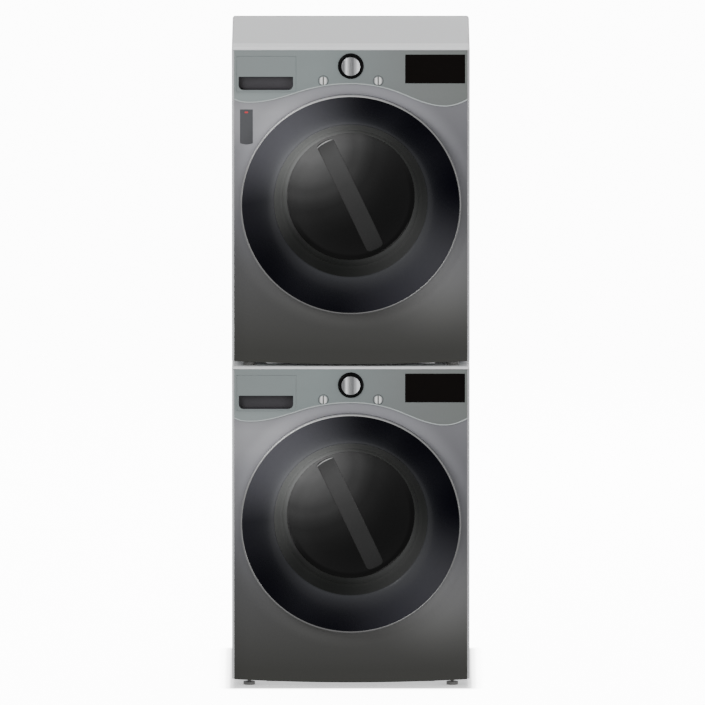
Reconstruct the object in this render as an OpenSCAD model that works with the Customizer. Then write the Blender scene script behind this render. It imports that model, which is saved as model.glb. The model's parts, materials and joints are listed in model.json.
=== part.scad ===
// Stacked laundry pair: a front-loading washer with a matching dryer standing on it.
// Each machine is drawn in its own frame: x = 0 on its centre line, y = 0 at the face of
// its front panel, z = 0 at the lower corners of that panel. The stack is then set with its
// origin under the middle of its box, +Z up and the doors facing -Y.

/* [Cabinet] */
// Width of each cabinet
cabinet_w = 686; // [676:2:720]
// Depth from the front panel's face to the cabinet's back
cabinet_d = 740; // [730:5:800]
// Height of the front of each machine at its sides
panel_h = 903; // [890:1:930]
// How far the cabinet shows beside the front panel, each side
cabinet_reveal = 7; // [5:0.5:9]
// How far the front panel's lower edge bows down in the middle
panel_bow = 9.5; // [4:0.5:11]
// Thickness of the sheet steel
sheet = 1.2; // [0.8:0.1:1.5]
// Depth of the front panel's folded edge
panel_lip = 10; // [8:0.5:12]
// Radius of the cabinet's upright corners
corner_r = 7; // [5:0.5:8]
// Height of the top cover above the front panel
cover_rise = 8; // [7:0.5:10]
// Depth of the trim strip at the front of the top
trim_d = 95; // [85:1:105]
// Width of the folded edge around the cabinet's front
flange_w = 14; // [10:1:14]

/* [Feet] */
// How far the washer's feet lift its front panel off the floor
washer_foot_h = 21; // [19:0.5:30]
// How far the dryer's feet lift its front panel off the washer's top
dryer_foot_h = 15.8; // [15:0.1:20]
// Radius of a foot's pad
foot_r = 17; // [14:0.5:19]
// Radius of a foot's threaded stem
foot_stem_r = 5; // [4:0.5:6]
// Distance from the centre line to a foot
foot_x = 293; // [285:1:298]
// Distance from the front or the back to a foot
foot_inset = 45; // [38:1:50]

/* [Control panel] */
// How far the control panel stands proud of the front panel
control_proud = 2; // [1:0.5:3]
// Thickness of the control panel
control_t = 3; // [2.5:0.5:4]
// Width of the bead along the control panel's lower edge
bead_w = 4; // [2:0.5:6]
// Drop of the lower edge at its crest, above the door
wave_crest = 99; // [97:1:102]
// Drop of the lower edge at its left dip
wave_left = 153; // [148:1:158]
// Drop of the lower edge at its right dip
wave_right = 164; // [158:1:168]
// Width of the display
display_w = 172; // [150:1:175]
// Height of the display
display_h = 83; // [70:1:86]
// Drop from the panel's top to the display
display_drop = 13; // [12:0.5:18]
// Distance from the panel's right edge to the display
display_margin = 7; // [6:0.5:20]

/* [Dial and buttons] */
// Radius of the dial's cap
dial_r = 26.75; // [22:0.25:28]
// Outer radius of the ring around the dial
bezel_r = 37; // [34:0.5:38]
// Drop from the panel's top to the dial's centre
dial_drop = 46; // [44:0.5:48]
// How far the dial stands proud of the control panel
dial_proud = 15; // [10:0.5:20]
// Radius of a button's cap
button_r = 11.5; // [9:0.25:12]
// Radius of the collar around a button
collar_r = 14; // [13:0.25:15]
// Distance from the centre line to a button
button_x = 79; // [70:1:90]
// Drop from the panel's top to a button's centre
button_drop = 88.6; // [86:0.2:90]
// Travel of a button
button_travel = 1.5; // [1:0.1:2]

/* [Drawer] */
// Width of the drawer's front
drawer_w = 170; // [164:1:172]
// Height of the drawer's front
drawer_h = 103; // [98:1:104]
// Drop from the panel's top to the drawer's front
drawer_drop = 18; // [16:0.5:19]
// Distance from the panel's left edge to the drawer
drawer_margin = 8; // [7:0.5:12]
// Length of the drawer's tray
tray_l = 260; // [200:5:280]
// Height of the tray
tray_h = 92; // [80:1:94]
// Thickness of moulded walls
wall = 2.5; // [2:0.1:3]
// Width of the finger recess
pull_w = 157; // [120:1:158]
// Height of the finger recess
pull_h = 39; // [30:1:40]
// Depth of the finger recess
pull_d = 22; // [15:1:26]
// Radius of the recess's lower corners
pull_r = 15; // [8:1:18]
// Height of the drawer's edge under the finger recess
pull_sill = 5; // [4:0.5:8]

/* [Door] */
// Drop from the panel's top to the door's centre
door_drop = 444; // [440:1:450]
// Outer radius of the door's metal ring
ring_r = 318.5; // [317:0.5:320]
// Width of the metal ring
ring_w = 5.5; // [4:0.5:7]
// Depth of the metal ring
ring_d = 16; // [14:0.5:16]
// How far the ring stands in front of the panel
door_proud = 45; // [44:0.5:50]
// Radius of the dish's inner edge
dish_r = 221; // [216:1:224]
// Depth of the dish
dish_d = 94; // [90:1:96]
// Thickness of the dish
dish_t = 3; // [2.5:0.5:3.5]
// Curve of the dish: 1 is a straight cone, more is flatter at the centre
dish_curve = 1.2; // [1:0.05:1.25]
// Radius of the window at the bowl's end
window_r = 184; // [176:1:188]
// Depth of the bowl from the dish to the window
bowl_d = 98; // [85:1:102]
// Thickness of the bowl's glass
glass_t = 4; // [3:0.5:5]
// How far the window domes towards the drum
window_dome = 10; // [6:1:12]
// Width of the raised band across the window
band_w = 53; // [40:1:60]
// Length of the raised band
band_l = 325; // [280:5:330]
// Tilt of the band from the vertical
band_tilt = 25.5; // [15:0.5:35]
// How far the band stands out of the window
band_rise = 2; // [1:0.5:3]
// Radius of the front panel's opening at its face
mouth_r = 296; // [295:0.5:297]
// Radius of the funnel's inner end
throat_r = 246; // [244:0.5:250]
// Depth of the funnel
throat_d = 66; // [64:0.5:70]

/* [Hinge and lock] */
// Distance from the door's rim to the hinge pin
hinge_inset = 11.5; // [11:0.25:12.5]
// Distance from the front panel to the hinge pin
hinge_out = 20.5; // [20:0.25:21]
// Radius of the hinge pin
pin_r = 2.5; // [2:0.25:3]
// Half the height of the hinge arm
knuckle_h = 24.5; // [20:0.5:26]
// Distance from the door's rim to the latch
latch_inset = 13.5; // [12.5:0.25:14]

/* [Washer drum] */
// Outer radius of the tub
tub_r = 302; // [296:1:306]
// Thickness of the tub
tub_t = 4; // [3:0.5:5]
// Distance from the front panel to the tub
tub_y = 118; // [114:1:122]
// Length of the tub
tub_l = 468; // [440:1:480]
// Distance from the tub's outside to the washer's drum
drum_inset = 26; // [22:1:34]
// Thickness of drum walls
drum_t = 1.2; // [1:0.1:2]
// Radius of the drive shaft
shaft_r = 15; // [12:0.5:18]
// Outer radius of the motor's rotor
rotor_r = 137; // [125:1:145]
// Height of the lifters in either drum
lifter_h = 45; // [35:1:55]

/* [Dryer drum] */
// Outer radius of the dryer's drum
dryer_drum_r = 320; // [316:1:322]
// Distance from the front panel to the drum
dryer_drum_y = 150; // [146:1:154]
// Distance from the drum to the cabinet's back
dryer_drum_back = 18; // [16:1:30]
// Radius of a support roller
roller_r = 35; // [28:1:38]
// Angle of each support roller from straight down
roller_angle = 35; // [30:1:38]
// Radius of the motor's belt pulley
pulley_r = 18; // [14:1:22]
// Distance from the centre line to the motor's shaft
motor_x = 215; // [210:1:220]
// Height of the motor's shaft
motor_z = 100; // [98:1:104]
// Outer radius of the exhaust pipe
exhaust_r = 50.5; // [48:0.5:51]
// How far the exhaust collar reaches behind the cabinet
exhaust_reach = 38; // [30:1:45]

/* [Hidden] */

$fn = 96;

// Clearances
seam = 0.5;        // hairline gap around panels that are let in
seat = 0.3;        // gap between a piece and a curved seat
run = 0.05;        // radial clearance of a shaft in its bearing
swing = 5;         // gap between the door's plug and the funnel
far = 1000;        // longer than any piece that a cut has to pass

// Colours
graphite = [0.42, 0.43, 0.44];
greenish = [0.52, 0.55, 0.54];
pale = [0.78, 0.78, 0.79];
black = [0.05, 0.05, 0.06];
zinc = [0.62, 0.64, 0.66];
steel = [0.72, 0.73, 0.75];
dark = [0.22, 0.22, 0.24];
white = [0.88, 0.88, 0.86];
rubber = [0.30, 0.31, 0.33];
concrete = [0.60, 0.59, 0.57];
copper = [0.66, 0.38, 0.24];

// Places in a machine
panel_w = cabinet_w - 2 * cabinet_reveal;
half_w = cabinet_w / 2;
inner_w = half_w - sheet;
back_y = cabinet_d - sheet;
door_z = panel_h - door_drop;
dial_z = panel_h - dial_drop;
button_z = panel_h - button_drop;
control_back = control_t - control_proud;
drawer_x = -panel_w / 2 + drawer_margin;
drawer_z = panel_h - drawer_drop - drawer_h;
display_x = panel_w / 2 - display_margin - display_w;
display_z = panel_h - display_drop - display_h;
hinge_x = -ring_r + hinge_inset;
latch_x = ring_r - latch_inset;

// Places in the stack
machine_h = panel_h + cover_rise;
washer_z = washer_foot_h;
dryer_z = washer_foot_h + machine_h + dryer_foot_h;
front_y = (door_proud - cabinet_d - exhaust_reach) / 2;

// ---------------------------------------------------------------- helpers

module in_washer() translate([0, front_y, washer_z]) children();
module in_dryer() translate([0, front_y, dryer_z]) children();
module in_both() {
    in_washer() children();
    in_dryer() children();
}

// A flat outline in x and z, stretched from y0 to y1
module upright(y0, y1) translate([0, y1, 0]) rotate([90, 0, 0]) linear_extrude(y1 - y0) children();

// An outline in radius and y, turned about a level axis at height z
module turned(z = door_z, x = 0)
    translate([x, 0, z]) rotate([-90, 0, 0]) rotate_extrude($fn = 128) children();

// A level cylinder along y
module rod(r, y0, y1, x, z) translate([x, y0, z]) rotate([-90, 0, 0]) cylinder(r = r, h = y1 - y0);

// A list of points, last one first
function backwards(points) = [for (i = [len(points) - 1 : -1 : 0]) points[i]];

// A box between two corners
module block(a, b) translate(a) cube(b - a);

module rounded(w, h, r) {
    square([w - 2 * r, h], center = true);
    square([w, h - 2 * r], center = true);
    for (x = [-1, 1], y = [-1, 1])
        translate([x * (w / 2 - r), y * (h / 2 - r)]) circle(r = r, $fn = 48);
}

// ---------------------------------------------------------------- cabinet

// The cabinet in plan, inset by m from its outer face
module cabinet_plan(m = 0)
    translate([0, (cabinet_d + panel_lip) / 2])
        rounded(cabinet_w - 2 * m, cabinet_d - panel_lip - 2 * m, corner_r - m);

// The service opening in the back
access_w = 440;
access_low = door_z - 277;
access_top = panel_h - 163;
access_h = access_top - access_low;
access_z = (access_low + access_top) / 2;
access_r = 20;
access_lap = 15;
rail_h = 10;
rail_d = 38;
back_fold = 22;
shelf_w = inner_w - tub_r + 22.2; // reaches past the tub's springs

// The opening's outline, grown by m
module access_outline(m)
    translate([0, access_z]) rounded(access_w + 2 * m, access_h + 2 * m, access_r + m / 5);

// The folded shell of a machine, open at the front, the top and the bottom
module cabinet_shell()
    difference() {
        linear_extrude(panel_h)
            difference() {
                cabinet_plan();
                cabinet_plan(sheet);
            }
        block([flange_w - half_w, 0, -1], [half_w - flange_w, panel_lip + corner_r, panel_h + 1]);
    }

// A side with its folds at the front and the back, and the shelf turned in along its top
module side_panels()
    color(pale) in_both()
        for (s = [0, 1])
            mirror([s, 0, 0]) {
                intersection() {
                    cabinet_shell();
                    block([half_w - back_fold, 0, -1], [half_w, cabinet_d, panel_h + 1]);
                }
                block([inner_w - shelf_w, panel_lip + rail_d, panel_h - 2 * sheet],
                    [inner_w, back_y, panel_h]);
            }

// Channel that ties the sides together at the top front
module front_rails()
    color(zinc) in_both()
        difference() {
            block([-inner_w, panel_lip + corner_r, panel_h - rail_h], [inner_w, panel_lip + rail_d, panel_h]);
            block([-far, panel_lip + corner_r + sheet, panel_h - rail_h - 1],
                [far, panel_lip + rail_d - sheet, panel_h - sheet]);
        }

// A back with its service opening, the hole behind the cord's gland, and its own holes
module back_sheet()
    difference() {
        block([back_fold - half_w, back_y, 0], [half_w - back_fold, cabinet_d, panel_h]);
        upright(back_y - 1, cabinet_d + 1) access_outline(0);
        rod(gland_hole_r, back_y - 1, cabinet_d + 1, gland_x, service_z);
        children();
    }

module back_panels()
    color(pale) {
        in_washer()
            back_sheet() {
                for (x = valve_x) rod(thread_r + hole_gap, back_y - 1, cabinet_d + 1, x, service_z);
                rod(drain_r + hole_gap, back_y - 1, cabinet_d + 1, pump_x, pump_z);
            }
        in_dryer() {
            back_sheet() rod(exhaust_r + hole_gap, back_y - 1, cabinet_d + 1, 0, exhaust_z);
            // Stub axles of the support rollers
            for (s = [-1, 1])
                rod(axle_r, roller_y0 - 4, back_y, s * roller_x, roller_z);
        }
    }

// Bushes on the backs that grip the mains leads
gland_x = -200;
gland_r = 12;
gland_bore_r = 5;
gland_hole_r = 8;
gland_flare = 1.5;
gland_end = cabinet_d + 12;
service_z = panel_h - 78;

module cord_glands()
    color(dark) in_both()
        turned(service_z, gland_x)
            polygon([
                [gland_hole_r, cabinet_d], [gland_r, cabinet_d], [gland_r, gland_end],
                [gland_bore_r, gland_end], [gland_bore_r, cabinet_d + gland_flare]
            ]);

hole_gap = 1.2;

// Floor pan with a lowered skid, drilled for the feet
pan_h = 30;
skid_w = 486;
skid_d = 18;
skid_drop = 8;
floor_t = 2;
stem_gap = 0.2;
pan_x = inner_w - seat;
pan_y0 = panel_lip + sheet + seat;
pan_y1 = back_y - seat;

module base_pan()
    difference() {
        union() {
            block([-pan_x, pan_y0, 0], [pan_x, pan_y1, floor_t]);
            for (s = [0, 1])
                mirror([s, 0, 0])
                    block([pan_x - floor_t, pan_y0 + corner_r, 0], [pan_x, pan_y1 - corner_r, pan_h]);
            for (y = [pan_y0, pan_y1 - skid_d])
                block([-skid_w / 2, y, -skid_drop], [skid_w / 2, y + skid_d, floor_t]);
        }
        foot_places() translate([0, 0, -1]) cylinder(r = foot_stem_r + stem_gap, h = floor_t + 2);
        corner_cuts();
    }

// The pan's corners step in from the cabinet's rounded ones
module corner_cuts()
    for (s = [0, 1], y = [pan_y0, pan_y1 - corner_r])
        mirror([s, 0, 0]) block([pan_x - corner_r, y - 1, -1], [pan_x + 1, y + corner_r + 1, pan_h + 1]);

module foot_places()
    for (x = [-foot_x, foot_x], y = [foot_inset, cabinet_d - foot_inset])
        translate([x, y, 0]) children();

module floor_pans() color(dark) in_both() base_pan();

// A foot: pad, threaded stem and lock nut
pad_h = 9;
nut_h = 4;
stem_top = 26;

module feet(reach)
    foot_places() {
        translate([0, 0, -reach]) cylinder(r = foot_r, h = pad_h);
        translate([0, 0, -reach]) cylinder(r = foot_stem_r, h = reach + stem_top);
        translate([0, 0, -nut_h]) cylinder(r = 2 * foot_stem_r, h = nut_h, $fn = 6);
    }

module levelling_feet()
    color(dark) {
        in_washer() feet(washer_foot_h);
        in_dryer() feet(dryer_foot_h);
    }

// Top of a machine: a pressed pan, rolled over at its sides and at its front
module top_form(y0, y1, m)
    intersection() {
        translate([0, 0, panel_h - m]) linear_extrude(cover_rise)
            translate([0, cabinet_d / 2]) rounded(cabinet_w - 2 * m, cabinet_d - 2 * m, corner_r - m);
        upright(y0 + m, y1 - m)
            translate([0, machine_h - m - far / 2]) rounded(cabinet_w - 2 * m, far, cover_rise - m);
        translate([-far / 2, 0, 0]) rotate([90, 0, 90]) linear_extrude(far)
            translate([far / 2 + m, machine_h - m - far / 2]) rounded(far, far, cover_rise - m);
    }

module top_slab(y0, y1)
    difference() {
        top_form(y0, y1, 0);
        top_form(y0, y1, sheet);
    }

module top_covers() color(pale) in_both() top_slab(trim_d + seam, cabinet_d);
module top_trims() color(pale) in_both() top_slab(0, trim_d);

// Cover over the service opening, with a shallow raised field
module access_cover(raise)
    difference() {
        union() {
            upright(cabinet_d, cabinet_d + sheet) access_outline(access_lap);
            upright(cabinet_d, cabinet_d + raise) access_outline(-access_lap);
        }
        upright(cabinet_d - 1, cabinet_d + raise - sheet) access_outline(-access_lap - sheet);
    }

cover_field = 6;
duct_field = 22;

module rear_covers()
    color(zinc) {
        in_washer() access_cover(cover_field);
        in_dryer() access_cover(duct_field);
    }

// Plates that tie the dryer's back to the washer's
bracket_x = 260;
bracket_w = 60;
bracket_t = 2;
bracket_lap = 45;
module stacking_brackets()
    color(zinc) in_washer()
        for (x = [-bracket_x, bracket_x])
            block([x - bracket_w / 2, cabinet_d, panel_h - bracket_lap],
                [x + bracket_w / 2, cabinet_d + bracket_t, machine_h + dryer_foot_h + bracket_lap]);

// ---------------------------------------------------------------- front

// Lower edge of the control panel: [x, drop, slope] at its ends, low points, crest and inflections
left_low_x = -288;
left_bend_x = -140;
right_bend_x = 149;
right_low_x = 271;
wave = [
    [-panel_w / 2, wave_left - 10, 0.6],
    [left_low_x, wave_left, 0],
    [left_bend_x, wave_left - 33, -0.31],
    [0, wave_crest, 0],
    [right_bend_x, wave_right - 35, 0.42],
    [right_low_x, wave_right, 0],
    [panel_w / 2, wave_right - 19, -0.55]
];
wave_steps = 6;

function hermite(p, q, t) =
    let (w = q[0] - p[0])
    (2 * pow(t, 3) - 3 * pow(t, 2) + 1) * p[1] + (3 * pow(t, 2) - 2 * pow(t, 3)) * q[1]
    + w * ((pow(t, 3) - 2 * pow(t, 2) + t) * p[2] + (pow(t, 3) - pow(t, 2)) * q[2]);

function wave_line(lift = 0) = [
    for (i = [0 : len(wave) - 2], k = [0 : wave_steps - 1])
        let (t = k / wave_steps)
        [wave[i][0] + t * (wave[i + 1][0] - wave[i][0]),
            panel_h - hermite(wave[i], wave[i + 1], t) + lift],
    [panel_w / 2, panel_h - wave[len(wave) - 1][1] + lift]
];

bow_steps = 24;
function bow_z(x, m) = m - panel_bow * (1 - pow(2 * x / panel_w, 2));
function bow_line(m) = [
    for (i = [0 : bow_steps])
        let (x = (panel_w / 2 - m) * (1 - 2 * i / bow_steps)) [x, bow_z(x, m)]
];

// Front panel's outline, inset by m at its sides and lower edge
module front_outline(m = 0)
    intersection() {
        polygon(concat(wave_line(-seat - m), bow_line(0)));
        polygon(concat([[m - panel_w / 2, panel_h], [panel_w / 2 - m, panel_h]], bow_line(m)));
    }

slot_half = 12;
slot_reach = 6;
throat_lip = 6;

module front_sheet() {
    difference() {
        union() {
            upright(0, sheet) front_outline();
            upright(0, panel_lip)
                difference() {
                    front_outline();
                    front_outline(sheet);
                }
        }
        rod(mouth_r + sheet, -1, panel_lip + 1, 0, door_z);
        // Slot for the latch
        block([latch_x - slot_reach, -1, door_z - slot_half],
            [latch_x + slot_reach, sheet + 1, door_z + slot_half]);
    }
    // Funnel that leads in to the drum
    turned() polygon([
        [mouth_r, 0], [throat_r, throat_d], [throat_r - throat_lip, throat_d],
        [throat_r - throat_lip, throat_d + sheet], [throat_r + sheet, throat_d + sheet],
        [mouth_r + 2 * sheet, sheet], [mouth_r + 2 * sheet, 0]
    ]);
}

module front_panels() color(graphite) in_both() front_sheet();

// Control panel: a moulded plate with openings for what sits in it
module control_outline() polygon(concat(wave_line(), [[panel_w / 2, panel_h], [-panel_w / 2, panel_h]]));

module display_outline(m = 0)
    translate([display_x - m, display_z - m]) square([display_w + 2 * m, display_h + 2 * m]);

module drawer_outline(m = 0)
    translate([drawer_x - m, drawer_z - m]) square([drawer_w + 2 * m, drawer_h + 2 * m]);

module control_plate() {
    difference() {
        union() {
            upright(-control_proud, control_back) control_outline();
            // Bead along the lower edge
            upright(-control_proud - 1, -control_proud)
                polygon(concat(wave_line(), backwards(wave_line(bead_w))));
            for (x = [-button_x, button_x])
                rod(collar_r, -control_proud - 1, panel_lip, x, button_z);
            // Returned edges at the top and the sides
            upright(control_back, panel_lip)
                intersection() {
                    control_outline();
                    translate([-panel_w / 2, 0])
                        difference() {
                            square([panel_w, panel_h]);
                            translate([wall, 0]) square([panel_w - 2 * wall, panel_h - wall]);
                        }
                }
        }
        upright(-far, far) display_outline(seat);
        upright(-far, far) drawer_outline(seam);
        for (x = [-button_x, button_x]) rod(button_r + 2 * run, -far, far, x, button_z);
        rod(spindle_r + 1, -far, far, 0, dial_z);
    }
}

module washer_control_panel() color(greenish) in_washer() control_plate();

// The dryer's panel also holds the sleeve that its drawer runs in
module dryer_control_panel()
    color(greenish) in_dryer() {
        control_plate();
        drawer_sleeve();
    }

spindle_r = 4;
spindle_l = 12;
cap_gap = 1;
dial_rim = 4;

module dial_cap() {
    difference() {
        rod(dial_r, -control_proud - dial_proud, -control_proud - cap_gap, 0, dial_z);
        // Shallow turned dish in the cap's face
        turned(dial_z) polygon([
            [0, -control_proud - dial_proud - 1], [dial_r - dial_rim, -control_proud - dial_proud - 1],
            [dial_r - dial_rim, -control_proud - dial_proud], [0, -control_proud - dial_proud + 1]
        ]);
    }
    rod(spindle_r, -control_proud - cap_gap, spindle_l, 0, dial_z);
}

module washer_dial() color(steel) in_washer() dial_cap();
module dryer_dial() color(steel) in_dryer() dial_cap();

bezel_proud = 6;

module dial_bezels()
    color(black) in_both()
        turned(dial_z) polygon([
            [dial_r + seam, -control_proud], [dial_r + seam, -control_proud - bezel_proud + 1],
            [dial_r + seam + 1, -control_proud - bezel_proud], [bezel_r - 3, -control_proud - bezel_proud],
            [bezel_r, -control_proud - bezel_proud + 3], [bezel_r, -control_proud]
        ]);

button_proud = 3;
button_l = 8;
mark_w = 2;
mark_l = 11;
mark_d = 0.8;
stem_r = 3;
board_y = 13;
board_t = 1.6;
switch_l = 4;

module button_cap(side) {
    x = side * button_x;
    front = -control_proud - button_proud;
    difference() {
        rod(button_r, front, front + button_l, x, button_z);
        block([x - mark_w / 2, front - 1, button_z - mark_l / 2],
            [x + mark_w / 2, front + mark_d, button_z + mark_l / 2]);
    }
    rod(stem_r, front + button_l, board_y - switch_l - button_travel - seat, x, button_z);
}

module washer_power_button() color(steel) in_washer() button_cap(-1);
module washer_start_button() color(steel) in_washer() button_cap(1);
module dryer_power_button() color(steel) in_dryer() button_cap(-1);
module dryer_start_button() color(steel) in_dryer() button_cap(1);

// Display window with the circuit board behind it, its switches and the dial's encoder
board_x0 = -95;
board_margin = 6;
encoder_r = 10;
encoder_y = 5;

module display_modules()
    color(black) in_both() {
        upright(-control_proud - seat, board_y) display_outline();
        difference() {
            union() {
                block([board_x0, board_y, button_z - collar_r],
                    [display_x + display_w - board_margin, board_y + board_t,
                        display_z + display_h - board_margin]);
                rod(encoder_r, encoder_y, board_y, 0, dial_z);
                for (x = [-button_x, button_x]) rod(stem_r, board_y - switch_l, board_y, x, button_z);
            }
            rod(spindle_r + run, 0, far, 0, dial_z);
        }
    }

// ---------------------------------------------------------------- drawer

tray_margin = 4;
tray_x0 = drawer_x + tray_margin;
tray_x1 = drawer_x + drawer_w - tray_margin;
tray_z0 = drawer_z + tray_margin;
tray_y0 = control_back;
pull_x = drawer_x + 5;
pull_z = drawer_z + pull_sill;

// The finger recess: square at the top, rounded below
module pull_outline() {
    translate([pull_x, pull_z + pull_r]) square([pull_w, pull_h - pull_r]);
    translate([pull_x + pull_r, pull_z]) square([pull_w - 2 * pull_r, pull_r + 1]);
    for (x = [pull_x + pull_r, pull_x + pull_w - pull_r])
        translate([x, pull_z + pull_r]) circle(r = pull_r, $fn = 48);
}

module drawer_face()
    upright(-control_proud, control_back)
        difference() {
            drawer_outline();
            pull_outline();
        }

module washer_drawer_front() color(greenish) in_washer() drawer_face();
module dryer_drawer_front() color(greenish) in_dryer() drawer_face();

cup_back = pull_d + wall;
cells = 2;

module tray() {
    cell_w = (tray_x1 - tray_x0 - (cells + 1) * wall) / cells;
    difference() {
        block([tray_x0, tray_y0, tray_z0], [tray_x1, tray_y0 + tray_l, tray_z0 + tray_h]);
        // Finger recess, behind the hole in the drawer's front
        upright(-far, tray_y0 + pull_d)
            intersection() {
                pull_outline();
                translate([tray_x0 + wall, tray_z0 + wall]) square([tray_x1 - tray_x0 - 2 * wall, far]);
            }
        for (i = [0 : cells - 1])
            block([tray_x0 + wall + i * (cell_w + wall), tray_y0 + cup_back + wall, tray_z0 + wall],
                [tray_x0 + (i + 1) * (cell_w + wall), tray_y0 + tray_l - wall, tray_z0 + far]);
    }
}

module washer_drawer_tray() color(dark) in_washer() tray();
module dryer_drawer_tray() color(dark) in_dryer() tray();

// Sleeve that a tray runs in, open at the front
sleeve_end = 14;
sleeve_flange = 4;

module drawer_sleeve()
    difference() {
        union() {
            block([tray_x0 - seat - wall, control_back, tray_z0 - seat - wall],
                [tray_x1 + seat + wall, tray_y0 + tray_l + sleeve_end, tray_z0 + tray_h + seat + wall]);
            // Flange that is screwed to the back of the control panel
            upright(control_back, control_back + wall) drawer_outline(sleeve_flange);
        }
        block([tray_x0 - seat, -1, tray_z0 - seat],
            [tray_x1 + seat, tray_y0 + tray_l + sleeve_end - wall, tray_z0 + tray_h + seat]);
    }

module washer_dispenser_box() color(white) in_washer() drawer_sleeve();

// ---------------------------------------------------------------- door

ring_back = ring_d - door_proud;
dish_out_r = ring_r - ring_w;
dish_y0 = 1 - door_proud;
dish_y1 = dish_y0 + dish_d;
dish_steps = 16;
flange_r = dish_r + 15;
flange_t = 3;
frame_gap = 3;
bowl_y0 = dish_y1 + dish_t;
window_y = dish_y1 + bowl_d;
retainer_y = bowl_y0 + flange_t;
plug_out_r = mouth_r - swing;
plug_in_r = throat_r - swing - 1;

function dish_y(r) = dish_y0 + dish_d * (1 - pow((r - dish_r) / (dish_out_r - dish_r), dish_curve));
function dish_line(shift) = [
    for (i = [0 : dish_steps])
        let (r = dish_out_r + (dish_r - dish_out_r) * i / dish_steps) [r, dish_y(r) + shift]
];

module door_ring()
    turned() polygon([
        [dish_out_r, ring_back], [dish_out_r, -door_proud + 1], [dish_out_r + 1, -door_proud],
        [ring_r - 2, -door_proud], [ring_r, -door_proud + 2], [ring_r, ring_back]
    ]);

module door_dish() turned() polygon(concat(dish_line(0), backwards(dish_line(dish_t))));

dome_steps = 10;
function dome_y(r) = window_y + window_dome * (1 - pow(r / window_r, 2));
function dome_line(lift, reach) = [
    for (i = [0 : dome_steps]) let (r = reach * i / dome_steps) [r, dome_y(r) + lift]
];

module door_bowl() {
    turned() polygon(concat(
        dome_line(0, window_r),
        [[dish_r, bowl_y0], [flange_r, bowl_y0], [flange_r, retainer_y],
            [dish_r + glass_t, retainer_y], [window_r + glass_t, window_y + glass_t]],
        backwards(dome_line(glass_t, window_r))
    ));
    // Raised band across the window
    intersection() {
        turned()
            polygon(concat(dome_line(-band_rise, band_l / 2 + 1), backwards(dome_line(1, band_l / 2 + 1))));
        upright(0, far)
            translate([0, door_z]) rotate(band_tilt) rounded(band_w, band_l, band_w / 2 - sheet / 10);
    }
}

pocket_r = 19.8;
pocket_half = knuckle_h + 22;
pocket_front = ring_back;

module door_frame()
    difference() {
        union() {
            turned() polygon(concat(
                dish_line(dish_t),
                [[flange_r + seat, bowl_y0], [flange_r + seat, retainer_y],
                    [dish_r + glass_t + seam, retainer_y], [dish_r + glass_t + seam, retainer_y + frame_gap],
                    [plug_in_r, retainer_y + frame_gap],
                    [plug_out_r, -frame_gap], [ring_r - 7, -frame_gap], [ring_r - 1, -3 * frame_gap],
                    [ring_r - 1, ring_back], [dish_out_r, ring_back]]
            ));
            latch_hook();
        }
        // Pocket in which the hinge folds
        intersection() {
            union() {
                translate([hinge_x, -hinge_out, door_z - pocket_half])
                    cylinder(r = pocket_r, h = 2 * pocket_half);
                block([-ring_r - 1, -hinge_out, door_z - pocket_half], [hinge_x, 1, door_z + pocket_half]);
                block([-ring_r - 1, pocket_front, door_z - pocket_half],
                    [hinge_x, -hinge_out, door_z + pocket_half]);
            }
            block([-ring_r - 2, pocket_front, door_z - far], [0, far, door_z + far]);
        }
        hinge_leaf();
    }

hook_half = 8;
hook_t = 6;
hook_l = 24;
hook_tip = 4;
hook_eye = 10;

module latch_hook()
    difference() {
        block([latch_x - hook_t / 2, -frame_gap - 1, door_z - hook_half],
            [latch_x + hook_t / 2, hook_l, door_z + hook_half]);
        block([latch_x - hook_t, hook_l - hook_tip - hook_eye, door_z - hook_half / 2],
            [latch_x + hook_t, hook_l - hook_tip, door_z + hook_half / 2]);
    }

leaf_t = 3.5;
leaf_l = 22;
knuckle_r = pin_r + 3.5;

module hinge_leaf()
    block([hinge_x - leaf_t, -frame_gap - 1 - leaf_t, door_z - knuckle_h],
        [hinge_x + leaf_l, -frame_gap - 1, door_z + knuckle_h]);

module hinge_arm()
    difference() {
        union() {
            hinge_leaf();
            block([hinge_x - leaf_t, -hinge_out, door_z - knuckle_h],
                [hinge_x + leaf_t, -frame_gap - 1, door_z + knuckle_h]);
            translate([hinge_x, -hinge_out, door_z - knuckle_h]) cylinder(r = knuckle_r, h = 2 * knuckle_h);
        }
        translate([hinge_x, -hinge_out, door_z - far]) cylinder(r = pin_r + run, h = 2 * far);
    }

lug_t = 12;
lug_r = pin_r + 2.5;
lug_half = 3;
plate_t = 3;
plate_half = 6;

module hinge_brackets()
    color(zinc) in_both() {
        half = knuckle_h + seat + lug_t;
        block([hinge_x - plate_half, -plate_t, door_z - half - plate_half],
            [hinge_x + plate_half + 1, 0, door_z + half + plate_half]);
        for (s = [-1, 1]) {
            z = door_z + s * (knuckle_h + seat + lug_t / 2) - lug_t / 2;
            block([hinge_x - lug_half, -hinge_out, z], [hinge_x + lug_half, -plate_t, z + lug_t]);
            translate([hinge_x, -hinge_out, z]) cylinder(r = lug_r, h = lug_t);
        }
        translate([hinge_x, -hinge_out, door_z - half]) cylinder(r = pin_r, h = 2 * half);
    }

lock_d = 40;
lock_half = 32;
lock_t = 12;
lock_wall = 2;

module door_locks()
    color(dark) in_both()
        difference() {
            block([latch_x - slot_reach + seam, sheet, door_z - lock_half],
                [latch_x + slot_reach + lock_t, lock_d, door_z + lock_half]);
            block([latch_x - slot_reach - 1, 0, door_z - slot_half],
                [latch_x + slot_reach, lock_d - lock_wall, door_z + slot_half]);
        }

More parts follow.
